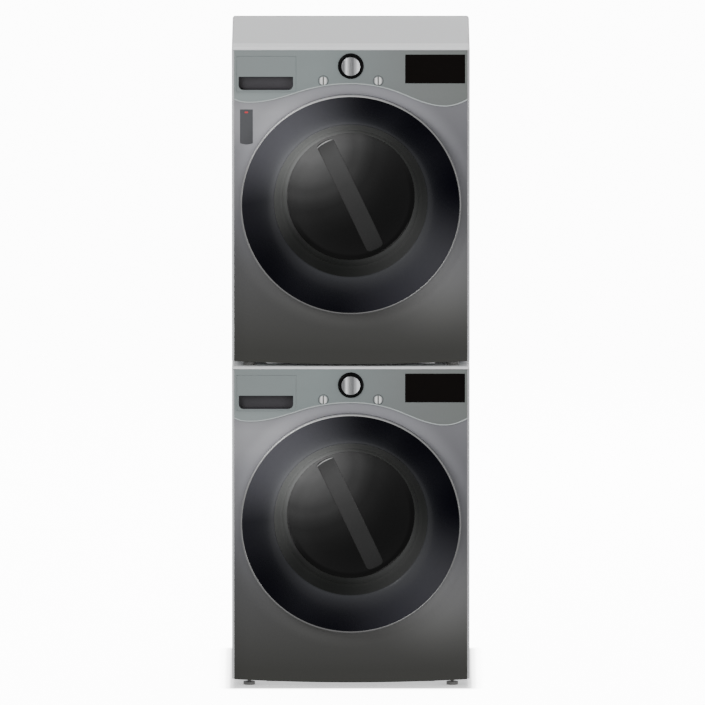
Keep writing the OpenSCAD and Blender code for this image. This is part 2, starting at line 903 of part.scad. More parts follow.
module washer_door_ring() color(steel) in_washer() door_ring();
module washer_door_dish() color(black) in_washer() door_dish();
module washer_door_bowl() color([0.15, 0.15, 0.16, 0.6]) in_washer() door_bowl();
module washer_door_frame() color(dark) in_washer() door_frame();
module washer_hinge_arm() color(zinc) in_washer() hinge_arm();
module dryer_door_ring() color(steel) in_dryer() door_ring();
module dryer_door_dish() color(black) in_dryer() door_dish();
module dryer_door_bowl() color([0.15, 0.15, 0.16, 0.6]) in_dryer() door_bowl();
module dryer_door_frame() color(dark) in_dryer() door_frame();
module dryer_hinge_arm() color(zinc) in_dryer() hinge_arm();

// ---------------------------------------------------------------- washer's works

tub_y1 = tub_y + tub_l;
tub_mouth_r = throat_r - 10;
hub_r = 40;
hub_l = 44;
lip_gap = 0.3;

// Rubber bellows from the funnel's inner end to the tub's mouth
gasket_t = 4;
gasket_lip_r = dish_r + 4;
fold_y = 24;

module washer_gasket()
    color(rubber) in_washer() {
        out_r = throat_r - throat_lip;
        turned() polygon([
            [out_r - gasket_t, throat_d - gasket_t], [out_r - lip_gap, throat_d - gasket_t],
            [out_r - lip_gap, throat_d + sheet], [throat_r, throat_d + sheet],
            [throat_r, throat_d + sheet + gasket_t], [out_r + 2, throat_d + 2 * gasket_t],
            [out_r + 2, throat_d + fold_y], [tub_mouth_r, tub_y - gasket_t],
            [tub_mouth_r, tub_y], [tub_mouth_r - lip_gap, tub_y],
            [tub_mouth_r - lip_gap, tub_y + 2 * gasket_t], [tub_mouth_r - gasket_t, tub_y + 2 * gasket_t],
            [tub_mouth_r - gasket_t, tub_y - gasket_t], [out_r + 2 - gasket_t, throat_d + fold_y],
            [out_r + 2 - gasket_t, throat_d + 3.5 * gasket_t], [gasket_lip_r + 2, throat_d + 4 * gasket_t],
            [gasket_lip_r, throat_d + 3 * gasket_t], [out_r - gasket_t, throat_d + 2 * gasket_t]
        ]);
    }

strut_angle = 65;
strut_y = [230, 470];
strut_foot_r = 10;
strut_foot_w = 24;
strut_stroke = 60;
strut_body_l = 110;
strut_body_r = 14;
strut_rod_r = 5;
spring_y = 400;
spring_x = tub_r - 17;
spring_r = 11;
ear_w = 30;

// The tub carries ears for the springs and the housing of the drum's bearing
module washer_tub()
    color(white) in_washer() {
        turned() polygon([
            [tub_mouth_r, tub_y], [tub_r, tub_y], [tub_r, tub_y1], [hub_r, tub_y1], [hub_r, tub_y1 + hub_l],
            [shaft_r + run, tub_y1 + hub_l], [shaft_r + run, tub_y1 - tub_t], [tub_r - tub_t, tub_y1 - tub_t],
            [tub_r - tub_t, tub_y + tub_t], [tub_mouth_r, tub_y + tub_t]
        ]);
        for (s = [0, 1])
            mirror([s, 0, 0])
                difference() {
                    block([spring_x - ear_w / 2, spring_y - ear_w / 2, door_z],
                        [spring_x + ear_w / 2 + 2, spring_y + ear_w / 2, ear_z]);
                    rod(tub_r - 1, spring_y - ear_w, spring_y + ear_w, 0, door_z);
                    block([0, spring_y - ear_w, 0], [far, spring_y + ear_w, door_z + ear_low]);
                }
    }

ear_low = 100;
ear_h = 44;
ear_z = door_z + ear_low + ear_h;

// Springs that the tub hangs from: a close-wound body between two straight hooks
spring_turns = 14;
spring_body = 150;
groove = 2;
hook_r = 2;

module washer_springs()
    color(steel) in_washer()
        for (x = [-spring_x, spring_x])
            translate([x, spring_y, ear_z]) {
                length = panel_h - 2 * sheet - ear_z;
                low = (length - spring_body) / 2;
                pitch = spring_body / spring_turns;
                cylinder(r = hook_r, h = length, $fn = 24);
                translate([0, 0, low])
                    rotate_extrude($fn = 32)
                        polygon(concat([[0, 0]],
                            [for (i = [0 : 2 * spring_turns])
                                [spring_r - (i % 2 == 0 ? groove : 0), i * pitch / 2]],
                            [[0, spring_body]]));
            }

// Struts between the floor pan and the tub
module washer_dampers()
    color(dark) in_washer()
        for (s = [0, 1], y = strut_y)
            mirror([s, 0, 0])
                translate([0, y, door_z]) rotate([0, strut_angle, 0]) {
                    reach = (door_z - floor_t - strut_foot_r - seat) / sin(strut_angle);
                    translate([tub_r + seat, 0, 0]) rotate([0, 90, 0]) {
                        cylinder(r = strut_rod_r, h = reach - tub_r - seat, $fn = 32);
                        translate([0, 0, strut_stroke])
                            cylinder(r = strut_body_r, h = strut_body_l, $fn = 48);
                    }
                    translate([reach, 0, 0])
                        rotate([90, 0, 0])
                            cylinder(r = strut_foot_r, h = strut_foot_w, center = true, $fn = 48);
                }

lifters = 3;
lifter_w = 68;
lifter_crest = 24;
lifter_t = 2;
module lifter_outline(r, m)
    polygon([[m - lifter_w / 2, r + m], [lifter_w / 2 - m, r + m],
        [lifter_crest / 2 - m, r - lifter_h + m], [m - lifter_crest / 2, r - lifter_h + m]]);

module drum_lifters(r, y0, y1)
    for (i = [0 : lifters - 1])
        translate([0, 0, door_z]) rotate([0, i * 360 / lifters, 0])
            translate([0, y1, 0]) rotate([90, 0, 0]) linear_extrude(y1 - y0)
                difference() {
                    lifter_outline(r, 0);
                    lifter_outline(r, lifter_t);
                }

drum_gap = 18;
washer_drum_r = tub_r - drum_inset;
drum_y0 = tub_y + drum_gap;
drum_y1 = tub_y1 - 2 * drum_gap + 10;
drum_mouth_r = tub_mouth_r - 8;

module washer_drum()
    color(steel) in_washer() {
        turned() polygon([
            [drum_mouth_r, drum_y0], [washer_drum_r, drum_y0], [washer_drum_r, drum_y1], [0, drum_y1],
            [0, drum_y1 - drum_t], [washer_drum_r - drum_t, drum_y1 - drum_t],
            [washer_drum_r - drum_t, drum_y0 + drum_t], [drum_mouth_r, drum_y0 + drum_t]
        ]);
        intersection() {
            drum_lifters(washer_drum_r, drum_y0 + drum_gap, drum_y1 - drum_t);
            rod(washer_drum_r - drum_t, drum_y0, drum_y1, 0, door_z);
        }
    }

// Three-armed spider with the drive shaft
arm_w = 40;
arm_t = 10;
rotor_y = tub_y1 + hub_l + 4;
shaft_end = rotor_y + 16;

module washer_drum_shaft()
    color(zinc) in_washer() {
        for (i = [0 : lifters - 1])
            translate([0, 0, door_z]) rotate([0, i * 360 / lifters, 0])
                block([-arm_w / 2, drum_y1, 0], [arm_w / 2, drum_y1 + arm_t, washer_drum_r - 20]);
        rod(hub_r, drum_y1, drum_y1 + arm_t, 0, door_z);
        rod(shaft_r, drum_y1, shaft_end, 0, door_z);
    }

// Cup of the direct-drive motor, open towards the tub
rotor_t = 6;
rotor_l = 42;
module washer_rotor()
    color(zinc) in_washer()
        turned() polygon([
            [shaft_r + run, rotor_y], [rotor_r - rotor_t, rotor_y], [rotor_r - rotor_t, rotor_y - rotor_l],
            [rotor_r, rotor_y - rotor_l], [rotor_r, rotor_y + rotor_t], [shaft_r + run, rotor_y + rotor_t]
        ]);

stator_gap = 1;
module washer_stator()
    color(copper) in_washer()
        difference() {
            rod(rotor_r - rotor_t - stator_gap, tub_y1, tub_y1 + hub_l - 8, 0, door_z);
            rod(hub_r + seat, tub_y1 - 1, tub_y1 + hub_l, 0, door_z);
        }

weight_t = 30;
weight_in = tub_mouth_r + 12;
weight_cut = 110;
module washer_counterweights()
    color(concrete) in_washer()
        difference() {
            rod(tub_r - 4, tub_y - weight_t, tub_y, 0, door_z);
            rod(weight_in, tub_y - weight_t - 1, tub_y + 1, 0, door_z);
            block([-far, 0, door_z - weight_cut], [far, far, door_z + weight_cut]);
        }

// Drain pump in the corner of the pan, with the pipe that leaves through the back
pump_x = 250;
pump_z = 52;
pump_r = 38;
pump_y0 = 62;
pump_l = 110;
drain_r = 14;
drain_bore_r = 11;
drain_reach = 26;
drain_end = cabinet_d + drain_reach;
drain_bore_l = 226;
module washer_drain_pump()
    color(dark) in_washer()
        difference() {
            union() {
                rod(pump_r, pump_y0, pump_y0 + pump_l, pump_x, pump_z);
                rod(pump_r - 12, pump_y0 - 20, pump_y0 + pump_l + 40, pump_x, pump_z);
                rod(drain_r - 1, pump_y0 + pump_l, cabinet_d, pump_x, pump_z);
                rod(drain_r, cabinet_d, drain_end, pump_x, pump_z);
                block([pump_x - 20, pump_y0 + 10, floor_t], [pump_x + 20, pump_y0 + pump_l - 10, pump_z]);
            }
            rod(drain_bore_r, drain_end - drain_bore_l, drain_end + 1, pump_x, pump_z);
        }

// Hot and cold inlet valves inside the back
thread_r = 13.2;
thread_bore_r = 8;
thread_l = 18;
valve_x = [200, 250];
valve_d = 40;
valve_half = 20;
module washer_inlet_valves()
    color(white) in_washer()
        difference() {
            union() {
                block([valve_x[0] - valve_half, back_y - valve_d, service_z - valve_half],
                    [valve_x[1] + valve_half, back_y, service_z + valve_half]);
                for (x = valve_x) rod(thread_r, back_y - 1, cabinet_d + thread_l, x, service_z);
            }
            for (x = valve_x) rod(thread_bore_r, back_y - 4, cabinet_d + thread_l + 1, x, service_z);
        }

// ---------------------------------------------------------------- dryer's works

// Front bulkhead, with the collar that the drum's mouth turns on
bulk_y = tub_y;
bulk_t = sheet;
mouth_in = throat_r - 14;
mouth_out = throat_r - 10;
collar_end = dryer_drum_y + 15;
duct_w = 100;
duct_t = 2;
duct_y0 = 80;
duct_z0 = 40;
duct_z1 = door_z - mouth_in + 14;
filter_w = 95;
filter_y0 = 84;
filter_y1 = 104;
rim = 8;
grip_w = 80;
grip_d = 12;
grip_h = 20;
grip_wall = 5;

module dryer_bulkhead()
    color(pale) in_dryer() {
        difference() {
            union() {
                block([-pan_x + floor_t + seat, bulk_y, floor_t],
                    [pan_x - floor_t - seat, bulk_y + bulk_t, drawer_z - 2 * wall]);
                turned() polygon([
                    [mouth_in, ring_y1], [mouth_out, ring_y1], [mouth_out, dryer_drum_y - 4],
                    [mouth_felt, dryer_drum_y - 4], [mouth_felt, dryer_drum_y + 6],
                    [mouth_out, dryer_drum_y + 6], [mouth_out, collar_end], [mouth_in, collar_end]
                ]);
            }
            rod(mouth_in, throat_d, far, 0, door_z);
            rod(motor_bore, bulk_y - 1, bulk_y + bulk_t + 1, motor_x, motor_z);
            outlet_link(seat);
        }
    }

mouth_felt = throat_r - 6.3;
motor_bore = 12;
ring_y0 = throat_d + sheet;
ring_y1 = filter_y1 + seat;
ring_lip = 2.8;

module duct_walls()
    difference() {
        block([-duct_w, duct_y0, duct_z0], [duct_w, bulk_y, duct_z1]);
        block([duct_t - duct_w, duct_y0 + duct_t, duct_z0 + duct_t], [duct_w - duct_t, bulk_y - duct_t, far]);
        rod(mouth_in + 1, 0, far, 0, door_z);
        rod(mouth_out + seat, ring_y1, far, 0, door_z);
        // Way to the blower
        block([duct_w - duct_t - 1, inlet_y0 + duct_t, motor_z - inlet_half + duct_t],
            [duct_w + 1, bulk_y - volute_t, motor_z + inlet_half - duct_t]);
    }

// Lint duct under a ring that joins the front panel to the bulkhead, and the exhaust pipe
module dryer_ducts()
    color(zinc) in_dryer() {
        difference() {
            union() {
                turned() polygon([
                    [mouth_in, ring_y0], [throat_r, ring_y0], [throat_r, ring_y0 + ring_lip],
                    [mouth_out, ring_y0 + ring_lip], [mouth_out, ring_y1], [mouth_in, ring_y1]
                ]);
                duct_walls();
            }
            // Slot through which the filter lifts out
            block([-filter_w - seat, filter_y0 - seat, duct_z0 + 2 * duct_t],
                [filter_w + seat, filter_y1 + seat, door_z]);
        }
        difference() {
            union() {
                rod(exhaust_r - 1, cross_y1, cabinet_d, 0, exhaust_z);
                rod(exhaust_r, cabinet_d, cabinet_d + exhaust_reach, 0, exhaust_z);
            }
            rod(exhaust_bore, cross_y1 - 1, cabinet_d + exhaust_reach + 1, 0, exhaust_z);
        }
    }

// Lint filter: a framed screen that hangs in the duct by its handle
module dryer_lint_filter()
    color(dark) in_dryer() {
        top = door_z - mouth_in + 5;
        low = duct_z0 + 8;
        difference() {
            block([-filter_w, filter_y0, low], [filter_w, filter_y1, top]);
            for (y = [filter_y0 - 1, filter_y1 - rim])
                block([rim - filter_w, y, low + rim], [filter_w - rim, y + rim + 1, top - grip_h]);
            block([-grip_w / 2, filter_y0 + grip_wall, top - grip_d],
                [grip_w / 2, filter_y1 - grip_wall, top + 1]);
        }
    }

drum_back_y = back_y - dryer_drum_back;
module dryer_drum()
    color(steel) in_dryer() {
        turned() polygon([
            [mouth_felt + seat, dryer_drum_y], [dryer_drum_r, dryer_drum_y], [dryer_drum_r, drum_back_y],
            [0, drum_back_y], [0, drum_back_y - drum_t], [dryer_drum_r - drum_t, drum_back_y - drum_t],
            [dryer_drum_r - drum_t, dryer_drum_y + drum_t], [mouth_felt + seat, dryer_drum_y + drum_t]
        ]);
        intersection() {
            drum_lifters(dryer_drum_r, dryer_drum_y + 2 * drum_gap, drum_back_y - drum_t);
            rod(dryer_drum_r - drum_t, dryer_drum_y, drum_back_y, 0, door_z);
        }
    }

// Support rollers on stub axles
roller_w = 24;
roller_y0 = drum_back_y - roller_w - 6;
axle_r = 6;
roller_orbit = dryer_drum_r + seat + roller_r;
roller_x = roller_orbit * sin(roller_angle);
roller_z = door_z - roller_orbit * cos(roller_angle);

module roller(side)
    difference() {
        rod(roller_r, roller_y0, roller_y0 + roller_w, side * roller_x, roller_z);
        rod(axle_r + run, roller_y0 - 1, roller_y0 + roller_w + 1, side * roller_x, roller_z);
    }

module dryer_roller_left() color(rubber) in_dryer() roller(-1);
module dryer_roller_right() color(rubber) in_dryer() roller(1);

// Belt around the drum and the motor's pulley
belt_y = 312;
belt_w = 8;
belt_t = 2.5;
motor_dx = motor_x;
motor_dz = motor_z - door_z;
motor_d = norm([motor_dx, motor_dz]);
motor_a = atan2(motor_dz, motor_dx);

function on_circle(r, a) = [r * cos(a), r * sin(a)];

// Outline that wraps a circle of radius a at the drum's axis and one of radius b at the pulley
module wrap(a, b) {
    turn = acos((a - b) / motor_d);
    circle(r = a, $fn = 128);
    translate([motor_dx, motor_dz]) circle(r = b, $fn = 48);
    polygon([
        on_circle(a, motor_a + turn), [0, 0], on_circle(a, motor_a - turn),
        [motor_dx, motor_dz] + on_circle(b, motor_a - turn),
        [motor_dx, motor_dz] + on_circle(b, motor_a + turn)
    ]);
}

module dryer_belt()
    color(black) in_dryer()
        upright(belt_y, belt_y + belt_w)
            translate([0, door_z])
                difference() {
                    wrap(dryer_drum_r + seat + belt_t, pulley_r + seat + belt_t);
                    wrap(dryer_drum_r + seat, pulley_r + seat);
                }

// Motor on its bracket, with the post that the idler arm swings on
motor_r = 56;
motor_y0 = 160;
motor_l = 140;
motor_shaft_r = 8;
idler_x = 150;
idler_z = 42;
idler_pin_r = 4;
idler_r = 15;

module dryer_motor()
    color(zinc) in_dryer() {
        difference() {
            union() {
                rod(motor_r, motor_y0, motor_y0 + motor_l, motor_x, motor_z);
                block([motor_x - 40, motor_y0 + 15, floor_t],
                    [motor_x + 40, motor_y0 + motor_l - 15, motor_z]);
                block([idler_x - 8, motor_y0 + 30, idler_z - 8],
                    [motor_x, motor_y0 + motor_l - 15, idler_z + 8]);
            }
            rod(motor_shaft_r + run, 0, far, motor_x, motor_z);
        }
        rod(idler_pin_r, motor_y0 + motor_l - 15, belt_y + belt_w + 2, idler_x, idler_z);
    }

wheel_r = 78;
wheel_eye_r = 58;
wheel_y0 = 74;
wheel_l = 34;
module dryer_motor_shaft()
    color(steel) in_dryer() {
        rod(motor_shaft_r, wheel_y0, belt_y + belt_w + 4, motor_x, motor_z);
        rod(pulley_r, belt_y - 2, belt_y + belt_w + 2, motor_x, motor_z);
        difference() {
            rod(wheel_r, wheel_y0, wheel_y0 + wheel_l, motor_x, motor_z);
            rod(wheel_r - 16, wheel_y0 - 1, wheel_y0 + wheel_l - 4, motor_x, motor_z);
        }
    }

// Blower housing around the wheel, with its outlet through the bulkhead to the exhaust pipe
exhaust_z = exhaust_r + 10;
exhaust_t = 1.2;
exhaust_bore = exhaust_r - 1 - exhaust_t;
volute_r = 92;
volute_t = 3;
volute_y0 = 70;
inlet_y0 = volute_y0 + 14;
outlet_x0 = motor_x - volute_r + 6;
outlet_x1 = outlet_x0 + 22;
outlet_half = 34;
cross_y0 = bulk_y + bulk_t + seat;
cross_y1 = motor_y0 - 2;
inlet_half = 40;
shaft_gap = 2;

// The outlet's passage, grown by m
module outlet_link(m)
    block([outlet_x0 - m, bulk_y - 10, motor_z - outlet_half - m],
        [outlet_x1 + m, cross_y0 + 10, motor_z + outlet_half + m]);

module cross_duct(m)
    block([-exhaust_r - 4 + m, cross_y0 + m, exhaust_z - exhaust_r + m],
        [outlet_x1 + m / 2, cross_y1 - m, motor_z + outlet_half - m]);

module dryer_blower_housing()
    color(zinc) in_dryer()
        difference() {
            union() {
                rod(volute_r, volute_y0, bulk_y, motor_x, motor_z);
                block([duct_w + seat, inlet_y0, motor_z - inlet_half],
                    [motor_x, bulk_y, motor_z + inlet_half]);
                outlet_link(0);
                cross_duct(0);
            }
            rod(volute_r - volute_t, volute_y0 + duct_t, bulk_y - volute_t, motor_x, motor_z);
            block([duct_w - 1, inlet_y0 + duct_t, motor_z - inlet_half + duct_t],
                [motor_x, bulk_y - volute_t, motor_z + inlet_half - duct_t]);
            outlet_link(-exhaust_t);
            cross_duct(exhaust_t);
            rod(motor_shaft_r + shaft_gap, 0, bulk_y + 1, motor_x, motor_z);
            rod(wheel_eye_r, 0, volute_y0 + 5, motor_x, motor_z);
            rod(exhaust_bore, cross_y1 - 2 * exhaust_t, cross_y1 + 1, 0, exhaust_z);
        }

// Idler arm that keeps the belt tight: its wheel rides on the slack run
module dryer_idler()
    color(zinc) in_dryer() {
        turn = acos((dryer_drum_r - pulley_r) / motor_d);
        normal = on_circle(1, motor_a - turn);
        mid = 0.4 * on_circle(dryer_drum_r, motor_a - turn)
            + 0.6 * ([motor_dx, motor_dz] + on_circle(pulley_r, motor_a - turn));
        place = mid + normal * (belt_t + 2 * seat + idler_r) + [0, door_z];
        rod(idler_r, belt_y - 1, belt_y + belt_w + 1, place[0], place[1]);
        difference() {
            upright(belt_y + belt_w - 6, belt_y + belt_w + 1)
                polygon([place + [0, 6], place - [0, 6], [idler_x, idler_z - 6], [idler_x, idler_z + 6]]);
            rod(idler_pin_r + run, 0, far, idler_x, idler_z);
        }
        difference() {
            rod(idler_pin_r + 4, belt_y, belt_y + belt_w + 1, idler_x, idler_z);
            rod(idler_pin_r + run, 0, far, idler_x, idler_z);
        }
    }

// ---------------------------------------------------------------- parts

side_panels();
back_panels();
cord_glands();
front_rails();
floor_pans();
front_panels();
washer_control_panel();
washer_dial();
washer_power_button();
washer_start_button();
washer_drawer_front();
washer_drawer_tray();
washer_dispenser_box();
washer_door_ring();
washer_door_dish();
washer_door_bowl();
washer_door_frame();
washer_hinge_arm();
washer_gasket();
washer_tub();
washer_drum();
washer_drum_shaft();
washer_rotor();
washer_stator();
washer_counterweights();
washer_springs();
washer_dampers();
washer_drain_pump();
washer_inlet_valves();
dryer_control_panel();
dryer_dial();
dryer_power_button();
dryer_start_button();
dryer_drawer_front();
dryer_drawer_tray();
dryer_door_ring();
dryer_door_dish();
dryer_door_bowl();
dryer_door_frame();
dryer_hinge_arm();
dryer_bulkhead();
dryer_ducts();
dryer_drum();
dryer_belt();
dryer_motor();
dryer_motor_shaft();
dryer_blower_housing();
dryer_idler();
dryer_roller_left();
dryer_roller_right();
dryer_lint_filter();
top_covers();
top_trims();
rear_covers();
dial_bezels();
display_modules();
levelling_feet();
hinge_brackets();
door_locks();
stacking_brackets();
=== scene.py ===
"""A washer with a matching dryer stacked on it, dressed for a studio picture."""
import json
import math
from functools import cache

import bmesh
import bpy
from mathutils import Matrix, Vector


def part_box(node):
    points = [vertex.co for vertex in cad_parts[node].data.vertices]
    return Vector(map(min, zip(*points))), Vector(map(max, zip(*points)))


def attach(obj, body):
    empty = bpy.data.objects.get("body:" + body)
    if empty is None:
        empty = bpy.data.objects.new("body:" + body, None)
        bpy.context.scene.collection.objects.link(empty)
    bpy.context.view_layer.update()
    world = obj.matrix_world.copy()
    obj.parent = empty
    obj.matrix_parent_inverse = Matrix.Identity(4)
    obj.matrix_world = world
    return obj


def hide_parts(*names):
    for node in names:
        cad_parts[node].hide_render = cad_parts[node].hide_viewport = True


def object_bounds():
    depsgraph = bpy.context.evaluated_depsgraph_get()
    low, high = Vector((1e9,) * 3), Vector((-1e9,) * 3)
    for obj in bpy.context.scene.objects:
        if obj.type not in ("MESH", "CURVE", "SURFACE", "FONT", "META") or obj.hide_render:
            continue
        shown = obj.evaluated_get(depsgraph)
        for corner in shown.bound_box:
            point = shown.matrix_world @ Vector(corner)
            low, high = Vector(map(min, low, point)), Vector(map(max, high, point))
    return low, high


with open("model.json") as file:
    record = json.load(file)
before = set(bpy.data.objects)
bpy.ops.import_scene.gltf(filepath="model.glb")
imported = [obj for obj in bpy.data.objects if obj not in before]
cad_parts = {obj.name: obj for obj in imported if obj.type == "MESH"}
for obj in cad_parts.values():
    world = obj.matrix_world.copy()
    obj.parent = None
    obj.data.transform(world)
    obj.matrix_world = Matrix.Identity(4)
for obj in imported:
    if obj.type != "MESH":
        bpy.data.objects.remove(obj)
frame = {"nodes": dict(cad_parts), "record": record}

CAD_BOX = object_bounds()
NODES = frame["nodes"]
RECORD = frame["record"]
BODY_OF = {node: body for body, held in RECORD["behaviour"]["bodies"].items() for node in held}
SLOT_OF = {part["node"]: part["material_slot"] for part in RECORD["subparts"]}
FINISH_OF = {**SLOT_OF, "top_trims": "trim_paint", "washer_drawer_tray": "drawer_plastic",
             "dryer_drawer_tray": "drawer_plastic"}
MACHINES = ("washer", "dryer")
MM = 0.001

# Sizes of a machine's front in millimetres: heights from its front panel's lower edge, and x from its middle
PANEL_H, PANEL_HALF = 903.0, 336.0
DOOR = 459.0
BUTTON_X, BUTTON_Z = 79.0, 814.4

# In metres: the front panels' face, and the height of each one's lower edge
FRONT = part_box("side_panels")[0].y - 0.010
FOOT = {m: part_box(m + "_control_panel")[1].z - PANEL_H * MM for m in MACHINES}


def spot(machine, x, y, z):
    """A place on a machine, given in millimetres from its front panel's lower middle."""
    return Vector((x * MM, FRONT + y * MM, FOOT[machine] + z * MM))


# ----- sums of nodes

def with_alpha(colour):
    """A colour, or a grey given as one number, with its alpha."""
    return (*colour, 1.0) if hasattr(colour, "__len__") else (colour, colour, colour, 1.0)


def feed(tree, socket, value):
    """Gives a socket a link, a colour, a vector or a number."""
    if isinstance(value, Wire):
        tree.links.new(value.socket, socket)
    else:
        socket.default_value = with_alpha(value) if socket.type == "RGBA" else value


class Wire:
    """A value of a node tree that takes part in sums: each operator adds a Math node."""

    def __init__(self, graph, socket):
        self.graph = graph
        self.socket = socket

    def math(self, operation, *others, turned=False):
        """A Math node on this wire and the others, or on the others and this wire when turned round."""
        values = (*others, self) if turned else (self, *others)
        return self.graph.add("ShaderNodeMath", {"operation": operation}, dict(enumerate(values)))

    def __add__(self, other):
        return self.math("ADD", other)

    def __sub__(self, other):
        return self.math("SUBTRACT", other)

    def __rsub__(self, other):
        return self.math("SUBTRACT", other, turned=True)

    def __mul__(self, other):
        return self.math("MULTIPLY", other)

    def __truediv__(self, other):
        return self.math("DIVIDE", other)

    __radd__ = __add__
    __rmul__ = __mul__

    def step(self, low, high):
        """0 below low and 1 above high, with a smooth rise between them."""
        return self.graph.add("ShaderNodeMapRange", {"interpolation_type": "SMOOTHSTEP"},
                              {"Value": self, "From Min": low, "From Max": high}, "Result")


def hypot(*sides):
    """The square root of the sum of the squares of some wires."""
    total = sides[0] * sides[0]
    for side in sides[1:]:
        total = total + side * side
    return total.math("SQRT")


class Graph:
    """A node tree that is built by adding nodes and wiring them."""

    def __init__(self, tree):
        self.tree = tree

    def add(self, kind, settings=None, sockets=None, output=0):
        """Any node: its type, its settings, then its sockets. Gives the wire from one output."""
        node = self.tree.nodes.new(kind)
        for key, value in (settings or {}).items():
            if key == "stops":
                self.set_stops(node.color_ramp, value)
            else:
                setattr(node, key, value)
        for key, value in (sockets or {}).items():
            feed(self.tree, node.inputs[key], value)
        return Wire(self, node.outputs[output])

    @staticmethod
    def set_stops(ramp, stops):
        """Gives a ramp its stops, each as a place from 0 to 1 and a colour."""
        while len(ramp.elements) > 1:
            ramp.elements.remove(ramp.elements[-1])
        for i, (place, colour) in enumerate(stops):
            stop = ramp.elements[0] if i == 0 else ramp.elements.new(place)
            stop.position = place
            stop.color = with_alpha(colour)

    def scaled(self, vector, amount):
        """A vector or a colour times a number."""
        return self.add("ShaderNodeVectorMath", {"operation": "SCALE"}, {"Vector": vector, "Scale": amount})


class Finish(Graph):
    """A material: a Principled shader whose constants sit on its own sockets, and the nodes that vary it."""

    def __init__(self, name, **constants):
        self.material = bpy.data.materials.new(name)
        self.material.use_nodes = True
        super().__init__(self.material.node_tree)
        self.shader = self.tree.nodes["Principled BSDF"]
        self.drive(**constants)
        self.coordinates = self.add("ShaderNodeTexCoord", output="Object")
        parts = self.add("ShaderNodeSeparateXYZ", sockets={0: self.coordinates}).socket.node
        self.x, self.y, self.z = (Wire(self, output) for output in parts.outputs)

    def drive(self, **sockets):
        """Gives sockets of the shader their values or wires, with _ for each space in a socket's name."""
        for name, value in sockets.items():
            feed(self.tree, self.shader.inputs[name.replace("_", " ")], value)
        return self

    def height(self):
        """Height of a point above the foot of its own machine's front panel."""
        upper = self.z.math("GREATER_THAN", FOOT["dryer"] - 0.01)
        return self.z - FOOT["washer"] - upper * (FOOT["dryer"] - FOOT["washer"])

    def above_door(self):
        """Height of a point above the middle of its own machine's door."""
        return self.height() - DOOR * MM

    def round_door(self):
        """Distance from the door's middle, and how far round it: 0 at the left, 0.25 at the bottom."""
        up = self.above_door()
        return hypot(self.x, up), up.math("ARCTAN2", self.x) / (2 * math.pi) + 0.5

    def noise(self, scale, stretch=(1, 1, 1), detail=2.0, roughness=0.5):
        """Soft noise from 0 to 1. Scale is in features a metre, and stretch multiplies it along each axis."""
        place = self.add("ShaderNodeMapping", sockets={"Vector": self.coordinates, "Scale": stretch})
        return self.add("ShaderNodeTexNoise", sockets={
            "Vector": place, "Scale": scale, "Detail": detail, "Roughness": roughness})

    def cells(self, scale, output="Distance"):
        """Small cells, scale of them in a metre: the distance from a cell's middle, or its own colour."""
        return self.add("ShaderNodeTexVoronoi", None, {"Vector": self.coordinates, "Scale": scale}, output)

    def ramp(self, value, stops, ease="LINEAR"):
        """The colour that a ramp's stops give for each value."""
        wire = self.add("ShaderNodeValToRGB", {"stops": stops}, {"Fac": value})
        wire.socket.node.color_ramp.interpolation = ease
        return wire

    def mix(self, amount, a, b, way="MIX"):
        """Mixes two colours. The Mix node's own sockets for them are its inputs 6 and 7 and its output 2."""
        return self.add("ShaderNodeMix", {"data_type": "RGBA", "blend_type": way}, {0: amount, 6: a, 7: b}, 2)

    def bump(self, height, depth, strength):
        """Sends a height from 0 to 1, of a real depth in metres, to the shader's normal."""
        return self.drive(Normal=self.add("ShaderNodeBump", None, {
            "Height": height, "Distance": depth, "Strength": strength}))


def tint(red, green, blue):
    """A colour given as it shows on a screen, from 0 to 255, made linear."""
    def linear(v):
        v /= 255
        return v / 12.92 if v <= 0.04045 else ((v + 0.055) / 1.055) ** 2.4
    return linear(red), linear(green), linear(blue)


# What a matt face looking forward shows in this studio, from 0 to 255, against its base colour
LIT = ((0, 0.0005), (1, 0.001), (6, 0.003), (14, 0.006), (26, 0.012), (44, 0.025), (69, 0.05), (102, 0.1),
       (140, 0.2), (174, 0.4), (200, 0.8), (230, 1.0))
DARKEST = 0.0006


def lit(*tones, shine=0.0):
    """The base colour that shows as one grey tone or three tones, less what the finish's shine adds."""
    def base(tone):
        for (t0, b0), (t1, b1) in zip(LIT, LIT[1:]):
            if tone <= t1:
                return max(b0 + (b1 - b0) * (tone - t0) / (t1 - t0) - shine, DARKEST)
        return 1.0
    return tuple(base(tone) for tone in (tones if len(tones) == 3 else tones * 3))


def around(tones, green=0, blue=0):
    """Stops for a ramp round a door, evenly from its left by its bottom, right and top to its left again."""
    last = len(tones) - 1
    return [(i / last, lit(t, t + green, t + blue)) for i, t in enumerate(tones)]


# ----- finishes

